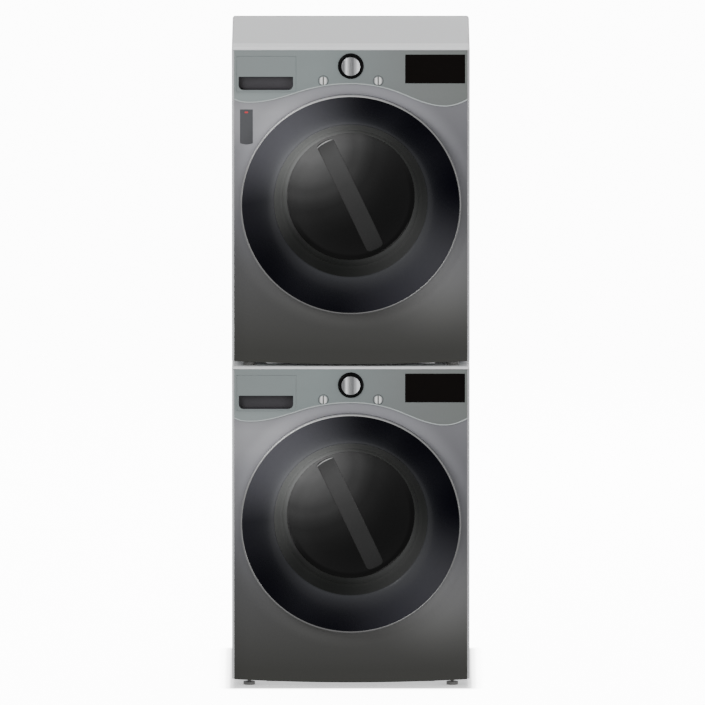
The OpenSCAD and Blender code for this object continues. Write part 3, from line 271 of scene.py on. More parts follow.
def graphite_steel(name):
    """Graphite brushed steel, with painted shade that darkens it towards the floor and a painted soft
    highlight at its lower right.
    """
    f = Finish(name, Metallic=0.35, Specular_IOR_Level=0.5)
    drop = 1 - f.height() / (PANEL_H * MM)
    # Painted shade and reflection: each panel's tone falls from its top to its bottom, in a column at its
    # left and one at its right
    left, right = (
        f.ramp(drop, [(p, lit(t, t, t + blue, shine=0.0185)) for p, t, blue in tones]) for tones in (
            ((0.0, 142, 3), (0.12, 146, 3), (0.2, 164, 3), (0.26, 160, 3), (0.33, 146, 3), (0.45, 126, 3),
             (0.55, 110, 3), (0.7, 93, 1), (0.84, 80, -1), (0.97, 67, -3)),
            ((0.0, 142, 4), (0.2, 132, 5), (0.33, 119, 4), (0.45, 112, 3), (0.58, 105, 2), (0.7, 95, 1),
             (0.84, 83, -1), (0.97, 68, -3))))
    base = f.mix(f.x.step(-0.26, 0.30), left, right)
    # A painted soft highlight at the panel's lower right
    painted_glow = 1 - hypot((f.x - 0.25) / 0.24, (drop - 0.735) / 0.23).step(0.0, 1.0)
    # Painted light close round the door makes up for the ring's shadow, and the left edge is a little darker
    radius, _ = f.round_door()
    pale = (1 - radius.step(0.322, 0.375)) * 0.5
    edge = 1 - (1 - f.x.step(-PANEL_HALF * MM, -0.29)) * 0.09
    grain = f.noise(90, (1.2, 12, 14), detail=3.0, roughness=0.6)
    lines = f.noise(240, (0.25, 6, 7))
    base = f.scaled(base, (1 + painted_glow * 1.1) * (1 + pale) * edge * (0.955 + grain * 0.05 + lines * 0.04))
    f.drive(Base_Color=base, Roughness=0.33 + grain * 0.12 + lines * 0.06)
    return f.bump(lines, 0.00004, 0.35)


def control_paint(name):
    """Greenish grey metallic paint with fine flakes, and painted shade that makes it a little darker towards
    the display.
    """
    f = Finish(name, Metallic=0.25, Coat_Weight=0.25, Coat_Roughness=0.2)
    # Painted shade: the tone falls a little from the panel's left to its right
    base = f.ramp((f.x + PANEL_HALF * MM) / (2 * PANEL_HALF * MM), [(p, lit(*t, shine=0.027)) for p, t in (
        (0.0, (141, 145, 145)), (0.35, (142, 147, 147)), (0.6, (135, 141, 141)), (0.8, (128, 132, 131)),
        (1.0, (122, 126, 124)))])
    flakes = f.cells(2600)
    cloud = f.noise(9, (1, 1, 4))
    low_left = (1 - f.x.step(-0.22, 0.0)) * (1 - f.height().step(0.765, 0.79))
    base = f.scaled(base, (1 + low_left * 0.2) * (1.01 + flakes * 0.10 + cloud * 0.06))
    f.drive(Base_Color=base, Roughness=0.36 + flakes * 0.08)
    return f.bump(f.noise(900), 0.00003, 0.25)


def enamel(name, colour, roughness=0.38, speck=0.03):
    """Baked enamel on sheet steel, with the faint orange peel that spraying leaves."""
    f = Finish(name, Coat_Weight=0.15, Coat_Roughness=0.25)
    cloud = f.noise(2.5, detail=3)
    peel = f.noise(420, detail=1.5)
    f.drive(Base_Color=f.scaled(tint(*colour), 1 - speck + cloud * 2 * speck),
            Roughness=roughness - 0.04 + peel * 0.10)
    return f.bump(peel, 0.00006, 0.25)


def painted_streaks(f, across, highlight_stops, colour, roughness):
    """Turned aluminium with painted highlights: upright bright streaks across a round face, where light falls
    on a lathe's fine rings.
    """
    # Painted highlights: the stops scale the metal's colour, bright where light would catch it
    painted_highlight = f.ramp(across, highlight_stops, "EASE")
    fine = f.noise(1400, (1, 1, 0.04))
    base = f.mix(1.0, f.scaled(colour, 0.9 + fine * 0.2), painted_highlight, "MULTIPLY")
    f.drive(Base_Color=base, Metallic=0.5, Roughness=roughness + fine * 0.08)
    return f.bump(fine, 0.00002, 0.3)


def dial_metal(name):
    """The dial's cap, with painted highlights that make it brightest left of its middle and towards its right
    edge.
    """
    f = Finish(name)
    return painted_streaks(f, (f.x + 0.0268) / 0.0536, (
        (0.02, 0.24), (0.13, 0.22), (0.28, 1.0), (0.36, 0.55), (0.46, 0.28), (0.62, 0.20), (0.74, 0.45),
        (0.90, 1.0), (0.98, 0.95)), (0.9, 0.91, 0.93), 0.24)


def button_metal(name):
    """Satin aluminium of the two small buttons, with painted highlights either side and a dark slit down the
    middle.
    """
    f = Finish(name)
    return painted_streaks(f, (f.x.math("ABSOLUTE") - BUTTON_X * MM + 0.0115) / 0.023, (
        (0.0, 0.30), (0.18, 0.90), (0.36, 0.95), (0.44, 0.25), (0.50, 0.08), (0.56, 0.25), (0.64, 0.95),
        (0.82, 0.90), (1.0, 0.30)), (0.9, 0.91, 0.9), 0.3)


def satin_chrome(name):
    """The door's ring: satin chrome, with a painted highlight brightest at its upper right."""
    f = Finish(name, Metallic=0.9)
    fine = f.noise(700)
    _, turn = f.round_door()
    # Painted highlight and reflection: the tone runs round the ring
    base = f.ramp(turn, around([141, 144, 135, 131, 138, 140, 134, 146, 165, 184, 186, 168, 141]), "CARDINAL")
    f.drive(Base_Color=f.scaled(base, 0.92 + fine * 0.12), Roughness=0.34 + fine * 0.08)
    return f.bump(fine, 0.00001, 0.2)


def door_gloss(name):
    """Black dish of the door: blue-black lacquer, with painted light that makes it slate at its inner edge
    and lit on its upper left and lower right, and painted shade on its lip.
    """
    f = Finish(name, Specular_IOR_Level=0.15, Coat_Weight=0.15, Coat_Roughness=0.12)
    radius, turn = f.round_door()
    # Painted highlights and shade round the dish, outer and inner, brightest at its upper left and lower
    # right
    outer = f.ramp(turn, around([33, 8, 9, 9, 43, 58, 12, 11, 12, 39, 108, 106, 33], 0, 6), "CARDINAL")
    inner = f.ramp(turn, around([63, 31, 44, 46, 56, 59, 35, 31, 33, 71, 120, 125, 63], 1, 5), "CARDINAL")
    # Painted light: towards the inner edge the paler inner ramp takes over
    depth = f.ramp((radius - 0.221) / 0.092, (
        (0.054, 1.0), (0.14, 0.73), (0.25, 0.45), (0.38, 0.26), (0.51, 0.165), (0.64, 0.09), (0.75, 0.05),
        (0.945, 0.0)))
    # Painted shade darkens the lip where it turns into the bowl
    painted_lip_shade = 0.8 + radius.step(0.2215, 0.2265) * 0.2
    dust = f.noise(60, detail=3)
    f.drive(Base_Color=f.scaled(f.mix(depth, outer, inner), painted_lip_shade * (0.97 + dust * 0.06)),
            Roughness=0.5 - radius.step(0.2215, 0.2245) * 0.28 + dust * 0.05)
    return f.bump(f.noise(300), 0.00002, 0.15)


def window_painted_light(f):
    """Painted light and shade of the window: grey at its upper left, black at its lower right."""
    reach = 330
    spread = hypot(f.x + 0.122, f.above_door() - 0.146)
    return f.ramp(spread / (reach * MM), [(d / reach, lit(t)) for d, t in (
        (40, 110), (68, 98), (84, 91), (102, 82), (130, 62), (150, 58), (170, 44), (190, 32), (211, 29),
        (235, 22), (265, 16), (300, 13), (330, 11))])


def smoked_glass(name):
    """Deep smoked glass of the bowl, with painted light and shade: its wall is painted lighter and darker
    round it and is greener at its bottom, and it meets the window in a painted dark rim of shade.
    """
    f = Finish(name, Specular_IOR_Level=0.05, Coat_Weight=0.03, Coat_Roughness=0.04)
    radius, turn = f.round_door()
    # Painted shade: a dark rim along the window's lower and right edge
    low = f.ramp(turn, ((0.04, 0.0), (0.14, 1.0), (0.5, 1.0), (0.6, 0.0)), "EASE")
    # Painted light that makes the window lighter towards its edge, where the bowl's wall shades it
    lift = f.ramp((radius - 0.1) / 0.084, ((0.0, 0.5), (0.36, 0.58), (0.71, 0.78), (0.9, 0.95))) * 2.0
    window = f.mix(radius.step(0.166, 0.175) * low, f.scaled(window_painted_light(f), lift), lit(11))
    # Painted light and shade round the bowl's wall, lighter towards the window, where the bowl shades it
    wall = f.ramp(turn, around([109, 60, 38, 38, 61, 68, 50, 51, 75, 110, 155, 152, 109], 1), "CARDINAL")
    wall = f.scaled(wall, 1.5 - radius.step(0.186, 0.208) * 0.5)
    dust = f.noise(40, detail=3)
    base = f.mix(radius.step(0.1835, 0.1855), window, wall)
    f.drive(Base_Color=f.scaled(base, 0.97 + dust * 0.06),
            Roughness=0.06 + dust * 0.05 + radius.step(0.1845, 0.19) * 0.32)
    return f.bump(f.noise(25), 0.0001, 0.1)


def band_glass(name):
    """The raised band across the window, a shade lighter than the glass round it, with painted light that
    brightens it towards its upper end.
    """
    f = Finish(name, Specular_IOR_Level=0.05, Coat_Weight=0.03, Coat_Roughness=0.05)
    along = f.above_door() * math.cos(BAND_TILT) - f.x * math.sin(BAND_TILT)
    # Painted light: the band brightens towards its upper end
    base = f.ramp((along + 0.17) / 0.34, [(p, lit(t)) for p, t in (
        (0.0, 42), (0.12, 46), (0.35, 50), (0.6, 64), (0.85, 88), (1.0, 99))])
    dust = f.noise(55, detail=3)
    f.drive(Base_Color=f.scaled(base, 0.96 + dust * 0.08), Roughness=0.10 + dust * 0.06)
    return f.bump(f.noise(220), 0.00002, 0.15)


def moulded(name, colour, roughness=0.5, grain=0.00008, scale=1500):
    """Moulded plastic with a fine spark-eroded grain."""
    f = Finish(name)
    pits = f.cells(scale)
    cloud = f.noise(7, detail=3)
    f.drive(Base_Color=f.scaled(tint(*colour), 0.92 + cloud * 0.12 + pits * 0.06),
            Roughness=roughness - 0.06 + pits * 0.2)
    return f.bump(pits, grain, 0.35)


def pull_plastic(name):
    """Plastic of the drawer's tray: dark in the finger recess, and pale from the compartments back."""
    f = Finish(name)
    pits = f.cells(1500)
    cloud = f.noise(6, detail=3)
    recess, tray = (f.ramp(cloud, ((0.3, tint(*dark)), (0.7, tint(*pale)))) for dark, pale in (
        ((38, 37, 41), (49, 47, 52)), ((186, 188, 188), (196, 198, 198))))
    base = f.mix(f.y.step(FRONT + 0.0257, FRONT + 0.0272), recess, tray)
    f.drive(Base_Color=f.scaled(base, 0.95 + pits * 0.08), Roughness=0.42 + pits * 0.15)
    return f.bump(pits, 0.00006, 0.3)


def polished_black(name, colour):
    """Piano-black plastic: dust and the faintest wipe marks vary its shine."""
    f = Finish(name, Specular_IOR_Level=0.05, Coat_Weight=0.03, Coat_Roughness=0.05)
    wipe = f.noise(30, (1, 1, 3), detail=4)
    return f.drive(Base_Color=f.scaled(tint(*colour), 0.8 + wipe * 0.4), Roughness=0.08 + wipe * 0.10)


def rubber(name, colour, roughness=0.62):
    """Moulded rubber with a chalky bloom."""
    f = Finish(name, Specular_IOR_Level=0.3)
    chalk = f.noise(26, detail=4)
    skin = f.noise(700)
    f.drive(Base_Color=f.scaled(tint(*colour), 0.86 + chalk * 0.22 + skin * 0.05),
            Roughness=roughness - 0.08 + chalk * 0.2)
    return f.bump(skin, 0.0001, 0.35)


def brushed(name, colour, roughness=0.3, along=(1, 0.05, 1), metallic=0.95):
    """Bare metal with brush lines along the axis whose stretch is least."""
    f = Finish(name, Metallic=metallic)
    lines = f.noise(500, along, detail=3)
    cloud = f.noise(5, detail=3)
    f.drive(Base_Color=f.scaled(tint(*colour), 0.88 + lines * 0.12 + cloud * 0.08),
            Roughness=roughness - 0.04 + lines * 0.14)
    return f.bump(lines, 0.00003, 0.3)


def zinc(name, colour=(176, 180, 184), roughness=0.38, size=60):
    """Galvanised sheet: crystals of zinc that differ a little in tone and shine."""
    f = Finish(name, Metallic=0.85)
    crystal = f.add("ShaderNodeSeparateColor", None, {"Color": f.cells(size, "Color")})
    haze = f.noise(12, detail=4)
    f.drive(Base_Color=f.scaled(tint(*colour), 0.84 + crystal * 0.14 + haze * 0.12),
            Roughness=roughness - 0.08 + crystal * 0.12 + haze * 0.08)
    return f.bump(f.noise(300), 0.00003, 0.25)


def cast(name, colour, roughness, metallic, grit):
    """Cast metal with a sandy skin."""
    f = Finish(name, Metallic=metallic)
    sand = f.noise(900, detail=4, roughness=0.7)
    cloud = f.noise(14, detail=3)
    f.drive(Base_Color=f.scaled(tint(*colour), 0.82 + sand * 0.16 + cloud * 0.14),
            Roughness=roughness - 0.1 + sand * 0.25)
    return f.bump(sand, grit, 0.5)


def windings(name):
    """Lacquered copper wire, wound along y."""
    f = Finish(name, Metallic=0.7, Coat_Weight=0.4)
    wire = f.noise(900, (1, 0.08, 1))
    f.drive(Base_Color=f.ramp(wire, ((0.3, tint(112, 58, 30)), (0.7, tint(196, 116, 66)))),
            Roughness=0.28 + wire * 0.2)
    return f.bump(wire, 0.0004, 0.6)


# How each finish is made: its maker, and what it is told after the finish's name
FINISHES = {
    "cabinet_paint": (enamel, (196, 197, 198)),
    "trim_paint": (enamel, (219, 220, 221), 0.34),
    "graphite_steel": (graphite_steel,),
    "control_paint": (control_paint,),
    "bead_paint": (enamel, (172, 178, 178), 0.3),
    "base_steel": (enamel, (222, 223, 224), 0.42, 0.05),
    "dial_metal": (dial_metal,),
    "button_metal": (button_metal,),
    "dark_plastic": (moulded, (60, 60, 64)),
    "drawer_plastic": (pull_plastic,),
    "pale_plastic": (moulded, (216, 216, 212), 0.42),
    "ring_metal": (satin_chrome,),
    "dish_gloss": (door_gloss,),
    "smoked_glass": (smoked_glass,),
    "band_glass": (band_glass,),
    # A pale enamel that paints the band's highlight
    "glint": (enamel, (205, 206, 205), 0.3),
    "cast_metal": (cast, (160, 162, 166), 0.45, 0.8, 0.0002),
    "gasket_rubber": (rubber, (96, 98, 102)),
    "drum_steel": (brushed, (198, 200, 203), 0.46, (1, 1, 1), 0.55),
    "zinc_plate": (zinc,),
    "windings": (windings,),
    "weight_iron": (cast, (128, 127, 124), 0.8, 0.0, 0.0008),
    "spring_steel": (brushed, (168, 170, 174), 0.3, (1, 1, 0.1)),
    "bulkhead_paint": (enamel, (204, 204, 201), 0.42),
    "belt_rubber": (rubber, (26, 26, 27)),
    "shaft_aluminium": (brushed, (186, 188, 192)),
    "zinc_duct": (zinc, (184, 187, 190), 0.34, 90),
    "roller_rubber": (rubber, (44, 44, 47)),
    "bezel_gloss": (polished_black, (9, 9, 10)),
    "display_gloss": (polished_black, (9, 6, 5)),
    "foot_rubber": (rubber, (104, 103, 102), 0.5),
    "label": (moulded, (68, 69, 72), 0.34, 0.00002, 3000),
    "label_red": (enamel, (206, 36, 44), 0.4),
    "seat_shadow": (moulded, (46, 48, 50), 0.6),
    "screw_steel": (brushed, (112, 114, 118), 0.34, (1, 1, 1), 0.8),
    # A dark finish for the painted shade in the mouths of holes and vents
    "hole_dark": (moulded, (18, 18, 20), 0.6),
}


@cache
def finish(name):
    """The material of a finish, made when it is first asked for."""
    maker, *values = FINISHES[name]
    return maker(name, *values).material


# ----- making meshes

# The sharpest bend in degrees that still shades smooth on a rounded piece
CREASE = 35


def linked(name, data):
    """A new object in the scene that holds a mesh, a light or a camera."""
    holder = bpy.data.objects.new(name, data)
    bpy.context.scene.collection.objects.link(holder)
    return holder


def add_piece(name, mesh, body, look, stands_for=()):
    """Puts a mesh in the scene as a piece that rides on a body, with a finish, and hides the CAD nodes that
    it stands for.
    """
    piece = linked(name, mesh)
    mesh.materials.clear()
    mesh.materials.append(finish(look))
    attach(piece, body)
    if stands_for:
        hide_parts(*stands_for)


def evaluated(helper):
    """The plain mesh that a helper object's modifiers make. The helper goes."""
    graph = bpy.context.evaluated_depsgraph_get()
    mesh = bpy.data.meshes.new_from_object(helper.evaluated_get(graph), depsgraph=graph)
    helper.modifiers.clear()
    bpy.data.objects.remove(helper)
    return mesh


def smooth(mesh, limit):
    """Shades a mesh smooth, apart from edges sharper than the limit in degrees."""
    mesh.polygons.foreach_set("use_smooth", [True] * len(mesh.polygons))
    mesh.set_sharp_from_angle(angle=math.radians(limit))


def rounded(mesh, width, rings, narrow=False):
    """A mesh with edges rounded by a width in millimetres. Narrow keeps the width where edges crowd."""
    helper = linked("helper", mesh)
    for kind, settings in (
            ("BEVEL", {"width": width * MM, "segments": rings, "limit_method": "ANGLE",
                       "angle_limit": math.radians(CREASE), "use_clamp_overlap": not narrow,
                       "loop_slide": not narrow}),
            ("TRIANGULATE", {"ngon_method": "BEAUTY"}),
            ("WEIGHTED_NORMAL", {"keep_sharp": True, "weight": 50})):
        modifier = helper.modifiers.new(kind.title(), kind)
        for key, value in settings.items():
            setattr(modifier, key, value)
    return evaluated(helper)


def joined(mesh, narrow):
    """A copy of a CAD mesh with its doubles merged and, unless narrow, its flat triangles made faces."""
    bm = bmesh.new()
    bm.from_mesh(mesh)
    bmesh.ops.remove_doubles(bm, verts=bm.verts, dist=1e-6)
    if not narrow:
        bmesh.ops.dissolve_limit(bm, angle_limit=math.radians(0.1), verts=bm.verts, edges=bm.edges)
    copy = bpy.data.meshes.new(mesh.name + "_joined")
    bm.to_mesh(copy)
    bm.free()
    return copy


def stand_in(node, mesh):
    """Adds a mesh that stands for a CAD node, on the node's body and with its finish."""
    add_piece(node + "_finished", mesh, BODY_OF[node], FINISH_OF[node], (node,))


def dressed(node, edge, rings=2, narrow=False):
    """Stands a node's own shape in for it, with its edges rounded over."""
    mesh = joined(NODES[node].data, narrow)
    smooth(mesh, CREASE)
    stand_in(node, rounded(mesh, edge, rings, narrow))


def closed(bm, name, limit):
    """Ends a bmesh as a mesh with its normals outward: smooth up to a limit, or flat where that is 0."""
    bmesh.ops.recalc_face_normals(bm, faces=bm.faces)
    mesh = bpy.data.meshes.new(name)
    bm.to_mesh(mesh)
    bm.free()
    if limit:
        smooth(mesh, limit)
    return mesh


def skinned(loops, name, limit, strips=False):
    """A solid over loops of points. Each end is one face, or strips between the two halves of its loop."""
    bm = bmesh.new()
    loops = [[bm.verts.new(point) for point in loop] for loop in loops]
    for a, b in zip(loops, loops[1:]):
        for k in range(len(a)):
            n = (k + 1) % len(a)
            bm.faces.new((a[k], a[n], b[n], b[k]))
    for end in (loops[0], loops[-1]):
        if strips:
            for k in range(len(end) // 2 - 1):
                bm.faces.new((end[k], end[k + 1], end[-2 - k], end[-1 - k]))
        else:
            bm.faces.new(end)
    return closed(bm, name, limit)


def turned(profile, machine, z, x, segments, limit):
    """A closed outline of (radius, y) in millimetres, turned about a level axis."""
    bm = bmesh.new()
    rings = []
    for radius, y in profile:
        angles = [2 * math.pi * k / segments for k in range(segments if radius > 1e-6 else 1)]
        rings.append([bm.verts.new(spot(machine, x + radius * math.cos(a), y, z + radius * math.sin(a)))
                      for a in angles])
    for a, b in zip(rings, rings[1:] + rings[:1]):
        if len(a) == len(b) == 1:
            continue
        for k in range(segments):
            n = (k + 1) % segments
            # A ring on the axis is one point, which is named once
            corners = dict.fromkeys((a[k % len(a)], a[n % len(a)], b[n % len(b)], b[k % len(b)]))
            bm.faces.new(tuple(corners))
    return closed(bm, "turned", limit)


def eased(points, radius):
    """A closed outline with each corner eased by a curve that starts at most radius away from it."""
    steps = 4
    result = []
    for before, corner, after in zip(points[-1:] + points, points, points[1:] + points[:1]):
        corner = Vector(corner)
        a, b = Vector(before) - corner, Vector(after) - corner
        reach = min(radius, a.length * 0.45, b.length * 0.45)
        start, end = corner + a.normalized() * reach, corner + b.normalized() * reach
        for k in range(steps + 1):
            t = k / steps
            result.append(tuple(start * (1 - t) ** 2 + corner * 2 * t * (1 - t) + end * t * t))
    return result


def plate(outline, machine, y0, y1, edge):
    """An outline in x and z, in millimetres, made into a plate from y0 to y1 with rounded edges."""
    solid = skinned([[spot(machine, x, y, z) for x, z in outline] for y in (y0, y1)], "plate", CREASE)
    return rounded(solid, edge, 3)


# ----- what repeats

class Repeat(Graph):
    """A Geometry Nodes group that sets copies of the piece it is given on points, and makes them real."""

    def __init__(self, name, **inputs):
        super().__init__(bpy.data.node_groups.new(name, "GeometryNodeTree"))
        face = self.tree.interface
        face.new_socket("Geometry", in_out="OUTPUT", socket_type="NodeSocketGeometry")
        for key, kind in {"Geometry": "Geometry", **inputs, "Material": "Material"}.items():
            face.new_socket(key, in_out="INPUT", socket_type="NodeSocket" + kind)
        entry = self.tree.nodes.new("NodeGroupInput")
        self.given = {socket.name: Wire(self, socket) for socket in entry.outputs}

    def copies_on(self, points, rotation=None):
        """Ends the group: copies on the points, made real, with the material it is given."""
        sockets = {"Points": points, "Instance": self.given["Geometry"]}
        if rotation:
            sockets["Rotation"] = rotation
        placed = self.add("GeometryNodeInstanceOnPoints", None, sockets)
        real = self.add("GeometryNodeRealizeInstances", None, {"Geometry": placed})
        done = self.add("GeometryNodeSetMaterial", None, {
            "Geometry": real, "Material": self.given["Material"]})
        feed(self.tree, self.tree.nodes.new("NodeGroupOutput").inputs["Geometry"], done)
        return self.tree


@cache
def grid():
    """Copies in rows and columns about the middle, on the plane of x and y."""
    r = Repeat("grid", Columns="Int", Rows="Int", Width="Float", Height="Float")
    return r.copies_on(r.add("GeometryNodeMeshGrid", None, {
        "Size X": r.given["Width"], "Size Y": r.given["Height"],
        "Vertices X": r.given["Columns"], "Vertices Y": r.given["Rows"]}))


@cache
def ring():
    """Copies round a circle on the plane of x and y, each turned to face outward."""
    r = Repeat("ring", Count="Int", Radius="Float")
    circle = r.add("GeometryNodeMeshCircle", None, {
        "Vertices": r.given["Count"], "Radius": r.given["Radius"]})
    place = r.add("GeometryNodeInputPosition")
    outward = r.add("FunctionNodeAlignRotationToVector", {"axis": "X"}, {"Vector": place})
    return r.copies_on(circle, outward)


@cache
def barrel():
    """Copies on the inside of a cylinder about z, in rows that are staggered, each facing the axis."""
    r = Repeat("barrel", Around="Int", Rows="Int", Radius="Float", Length="Float")
    count, rows = r.given["Around"], r.given["Rows"]
    points = r.add("GeometryNodeMeshLine", None, {"Count": count * rows})
    index = r.add("GeometryNodeInputIndex")
    row = (index / count).math("FLOOR")
    # Each row is turned by half a hole's step against the row before
    angle = row.math("MULTIPLY_ADD", 0.5, index) / count * (2 * math.pi)
    outward = r.add("ShaderNodeCombineXYZ", None, {0: angle.math("COSINE"), 1: angle.math("SINE")})
    depth = r.add("ShaderNodeCombineXYZ", None, {2: row / (rows - 1.0) * r.given["Length"]})
    place = r.add("ShaderNodeVectorMath", {"operation": "ADD"}, {
        0: r.scaled(outward, r.given["Radius"]), 1: depth})
    wall = r.add("GeometryNodeSetPosition", None, {"Geometry": points, "Position": place})
    inward = r.add("FunctionNodeAlignRotationToVector", {"axis": "Z"}, {"Vector": r.scaled(outward, -1.0)})
    return r.copies_on(wall, inward)


def socket_of(group, name):
    """The identifier by which a modifier knows a group's input."""
    return next(item.identifier for item in group.interface.items_tree
                if item.item_type == "SOCKET" and item.in_out == "INPUT" and item.name == name)


def add_copies(name, shape, group, plane, body, look, slot, **values):
    """Adds one piece of many copies of a shape: a group, its inputs set by name, places them on a plane."""
    helper = linked("helper", shape)
    modifier = helper.modifiers.new("Repeat", "NODES")
    modifier.node_group = group
    for key, value in {**values, "Material": finish(look)}.items():
        modifier[socket_of(group, key)] = value
    mesh = evaluated(helper)
    mesh.polygons.foreach_set("material_index", [0] * len(mesh.polygons))
    mesh.transform(plane)
    add_piece(name, mesh, body, look)


def facing(machine, x, y, z, back=True):
    """The frame of a plane that looks out of the back of a machine, or out of its front."""
    turn = Matrix.Rotation(math.radians(-90 if back else 90), 4, "X")
    if back:
        turn = turn @ Matrix.Rotation(math.pi, 4, "Z")
    return Matrix.Translation(spot(machine, x, y, z)) @ turn


def rounds(count, levels):
    """Loops of points round z, one for each level's radius and height in millimetres."""
    turns = [2 * math.pi * k / count for k in range(count)]
    return [[Vector((r * math.cos(a), r * math.sin(a), z)) * MM for a in turns] for r, z in levels]


def screw_head(radius=4.2, height=1.8):
    """A pan head with a six-sided socket, standing on the plane of x and y and looking along z."""
    loops = rounds(24, [(radius * r, height * z) for r, z in (
        (1.0, -0.2), (1.0, 0.45), (0.93, 0.72), (0.72, 0.93), (0.55, 1.0), (0.5, 1.0), (0.5, 0.25))])
    # The socket's two loops are drawn in to six flats, four points to a flat
    for loop in loops[-2:]:
        for k, point in enumerate(loop):
            point.xy *= math.cos(math.pi / 6) / math.cos(math.pi * (k % 4 - 2) / 12)
    return skinned(loops, "screw", 40)


def hole(radius):
    """The mouth of one small hole as a thin dark disc of painted shade, standing on the plane of x and y."""
    return skinned(rounds(10, ((radius, -0.3), (radius, 0.05))), "hole", 50)


def slot_mouth(length, width):
    """The mouth of a vent as a thin dark bar of painted shade with round ends, standing on the plane of x and
    y.
    """
    reach = (length - width) / 2
    outline = [(math.copysign(reach, math.cos(a)) + width / 2 * math.cos(a), width / 2 * math.sin(a))
               for a in (math.pi * (k + 0.5) / 8 for k in range(16))]
    return skinned([[Vector((x, y, z)) * MM for x, y in outline] for z in (-0.3, 0.15)], "mouth", 50)


def slat(length, width, height):
    """One louvre: a long half-round hood that stands on the plane of x and y."""
    loops = []
    for i in range(13):
        t = i / 6 - 1
        swell = math.sqrt(max(1 - abs(t) ** 6, 0.02))
        loops.append([Vector((length * t / 2, width * swell * math.cos(math.pi * k / 8) / 2,
                              height * swell * math.sin(math.pi * k / 8) - 0.1)) * MM for k in range(9)])
    return skinned(loops, "slat", 60)


# The back in millimetres: the rear cover's face and its screws' middle and height, the face of each raised
# field with the count of vents in a column, and the screws of the brackets and of the door
COVER_Y, COVER_Z, COVER_SPAN = 741.2, 461.0, 558.0
VENTS = {"washer": (746.0, 6), "dryer": (762.0, 9)}
VENT_X, VENT_Z, VENT_STEP, MOUTH_DROP = 95.0, 600.0, 22.0, 7.0
BRACKET_X, BRACKET_Y, BRACKET_Z = 260.0, 742.0, 914.9
SCREW_RING, SCREW_RING_Y, SCREW_TURN = 301.0, -3.0, 18

# In millimetres: the holes of the washer drum's wall, and each drum's back with its rings' counts and radii
WALL_R, WALL_START, WALL_LENGTH, WALL_AROUND, WALL_ROWS = 274.5, 176.0, 344.0, 72, 24
DRUM_BACK = {"washer": (558.7, ((72, 250), (60, 218), (50, 186), (40, 154), (30, 122), (20, 90))),
             "dryer": (719.5, ((90, 262), (80, 240), (70, 218), (60, 196), (50, 174)))}


def add_cover_screws(machine):
    """Screws of the rear cover: a column at each side, and two at its top and its bottom."""
    for part, rows, width in (("sides", 4, 440.0), ("ends", 2, 147.0)):
        add_copies(f"{machine}_cover_screws_{part}", screw_head(), grid(),
                   facing(machine, 0, COVER_Y, COVER_Z), "cabinet", "screw_steel", "zinc_plate",
                   Columns=2, Rows=rows, Width=width * MM, Height=COVER_SPAN * MM)


def add_door_screws(machine):
    """Screws round the back of the door, turned so that none meets the hinge or the latch."""
    plane = facing(machine, 0, SCREW_RING_Y, DOOR) @ Matrix.Rotation(math.radians(SCREW_TURN), 4, "Z")
    add_copies(machine + "_door_screws", screw_head(3.4, 1.4), ring(), plane, machine + "_door",
               "screw_steel", "dark_plastic", Count=10, Radius=SCREW_RING * MM)


def add_bracket_screws():
    """Four screws in each of the brackets that hold the dryer on the washer."""
    for side, x in (("left", -BRACKET_X), ("right", BRACKET_X)):
        add_copies("stacking_screws_" + side, screw_head(4.0, 1.7), grid(),
                   facing("washer", x, BRACKET_Y, BRACKET_Z), "cabinet", "screw_steel", "zinc_plate",
                   Columns=2, Rows=2, Width=34.0 * MM, Height=86.0 * MM)


def add_vents():
    """Hooded vents in the raised fields of the rear covers: a dark mouth of painted shade under each hood."""
    for machine, (y, rows) in VENTS.items():
        for side, x in (("left", -VENT_X), ("right", VENT_X)):
            for part, shape, look, z in (("hoods", slat(124, 9, 4.2), "zinc_plate", VENT_Z),
                                         ("vents", slot_mouth(116, 6), "hole_dark", VENT_Z - MOUTH_DROP)):
                add_copies(f"{machine}_cover_{part}_{side}", shape, grid(), facing(machine, x, y, z),
                           "cabinet", look, "zinc_plate",
                           Columns=1, Rows=rows, Width=0.0, Height=(rows - 1) * VENT_STEP * MM)


def add_drum_holes(machine):
    """Holes of a drum, as dark discs of painted shade: rows round the washer drum's wall, and rings on either
    drum's back.
    """
    body = machine + "_drum"
    if machine == "washer":
        add_copies(body + "_holes", hole(2.0), barrel(), facing(machine, 0, WALL_START, DOOR), body,
                   "hole_dark", "drum_steel",
                   Around=WALL_AROUND, Rows=WALL_ROWS, Radius=WALL_R * MM, Length=WALL_LENGTH * MM)
    y, rings = DRUM_BACK[machine]
    for k, (count, radius) in enumerate(rings):
        add_copies(f"{body}_back_holes_{k}", hole(2.4), ring(), facing(machine, 0, y, DOOR, back=False), body,
                   "hole_dark", "drum_steel", Count=count, Radius=radius * MM)


# ----- camera, floor and light

# The camera: the width that it sees at its target, in metres, and its lens, in millimetres
VIEW_WIDTH = 2.0318
LENS, SENSOR = 1690.0, 36.0
ELEVATION = math.radians(7.7)
TARGET = Vector((0.005, FRONT, 0.9725))

# Strength of the white that stands behind the stack, and of the soft light from all sides
WHITE = 12.0
DAYLIGHT = 0.75


def set_camera():
    """A camera with a long lens, which looks a little down on the stack."""
    camera = bpy.data.cameras.new("camera")
    camera.lens = LENS
    camera.sensor_width = SENSOR
    camera.clip_end = 400.0
    holder = linked("camera", camera)
    distance = VIEW_WIDTH * LENS / SENSOR
    holder.location = TARGET + Vector((0, -math.cos(ELEVATION), math.sin(ELEVATION))) * distance
    holder.rotation_euler = (math.pi / 2 - ELEVATION, 0, 0)
    bpy.context.scene.camera = holder


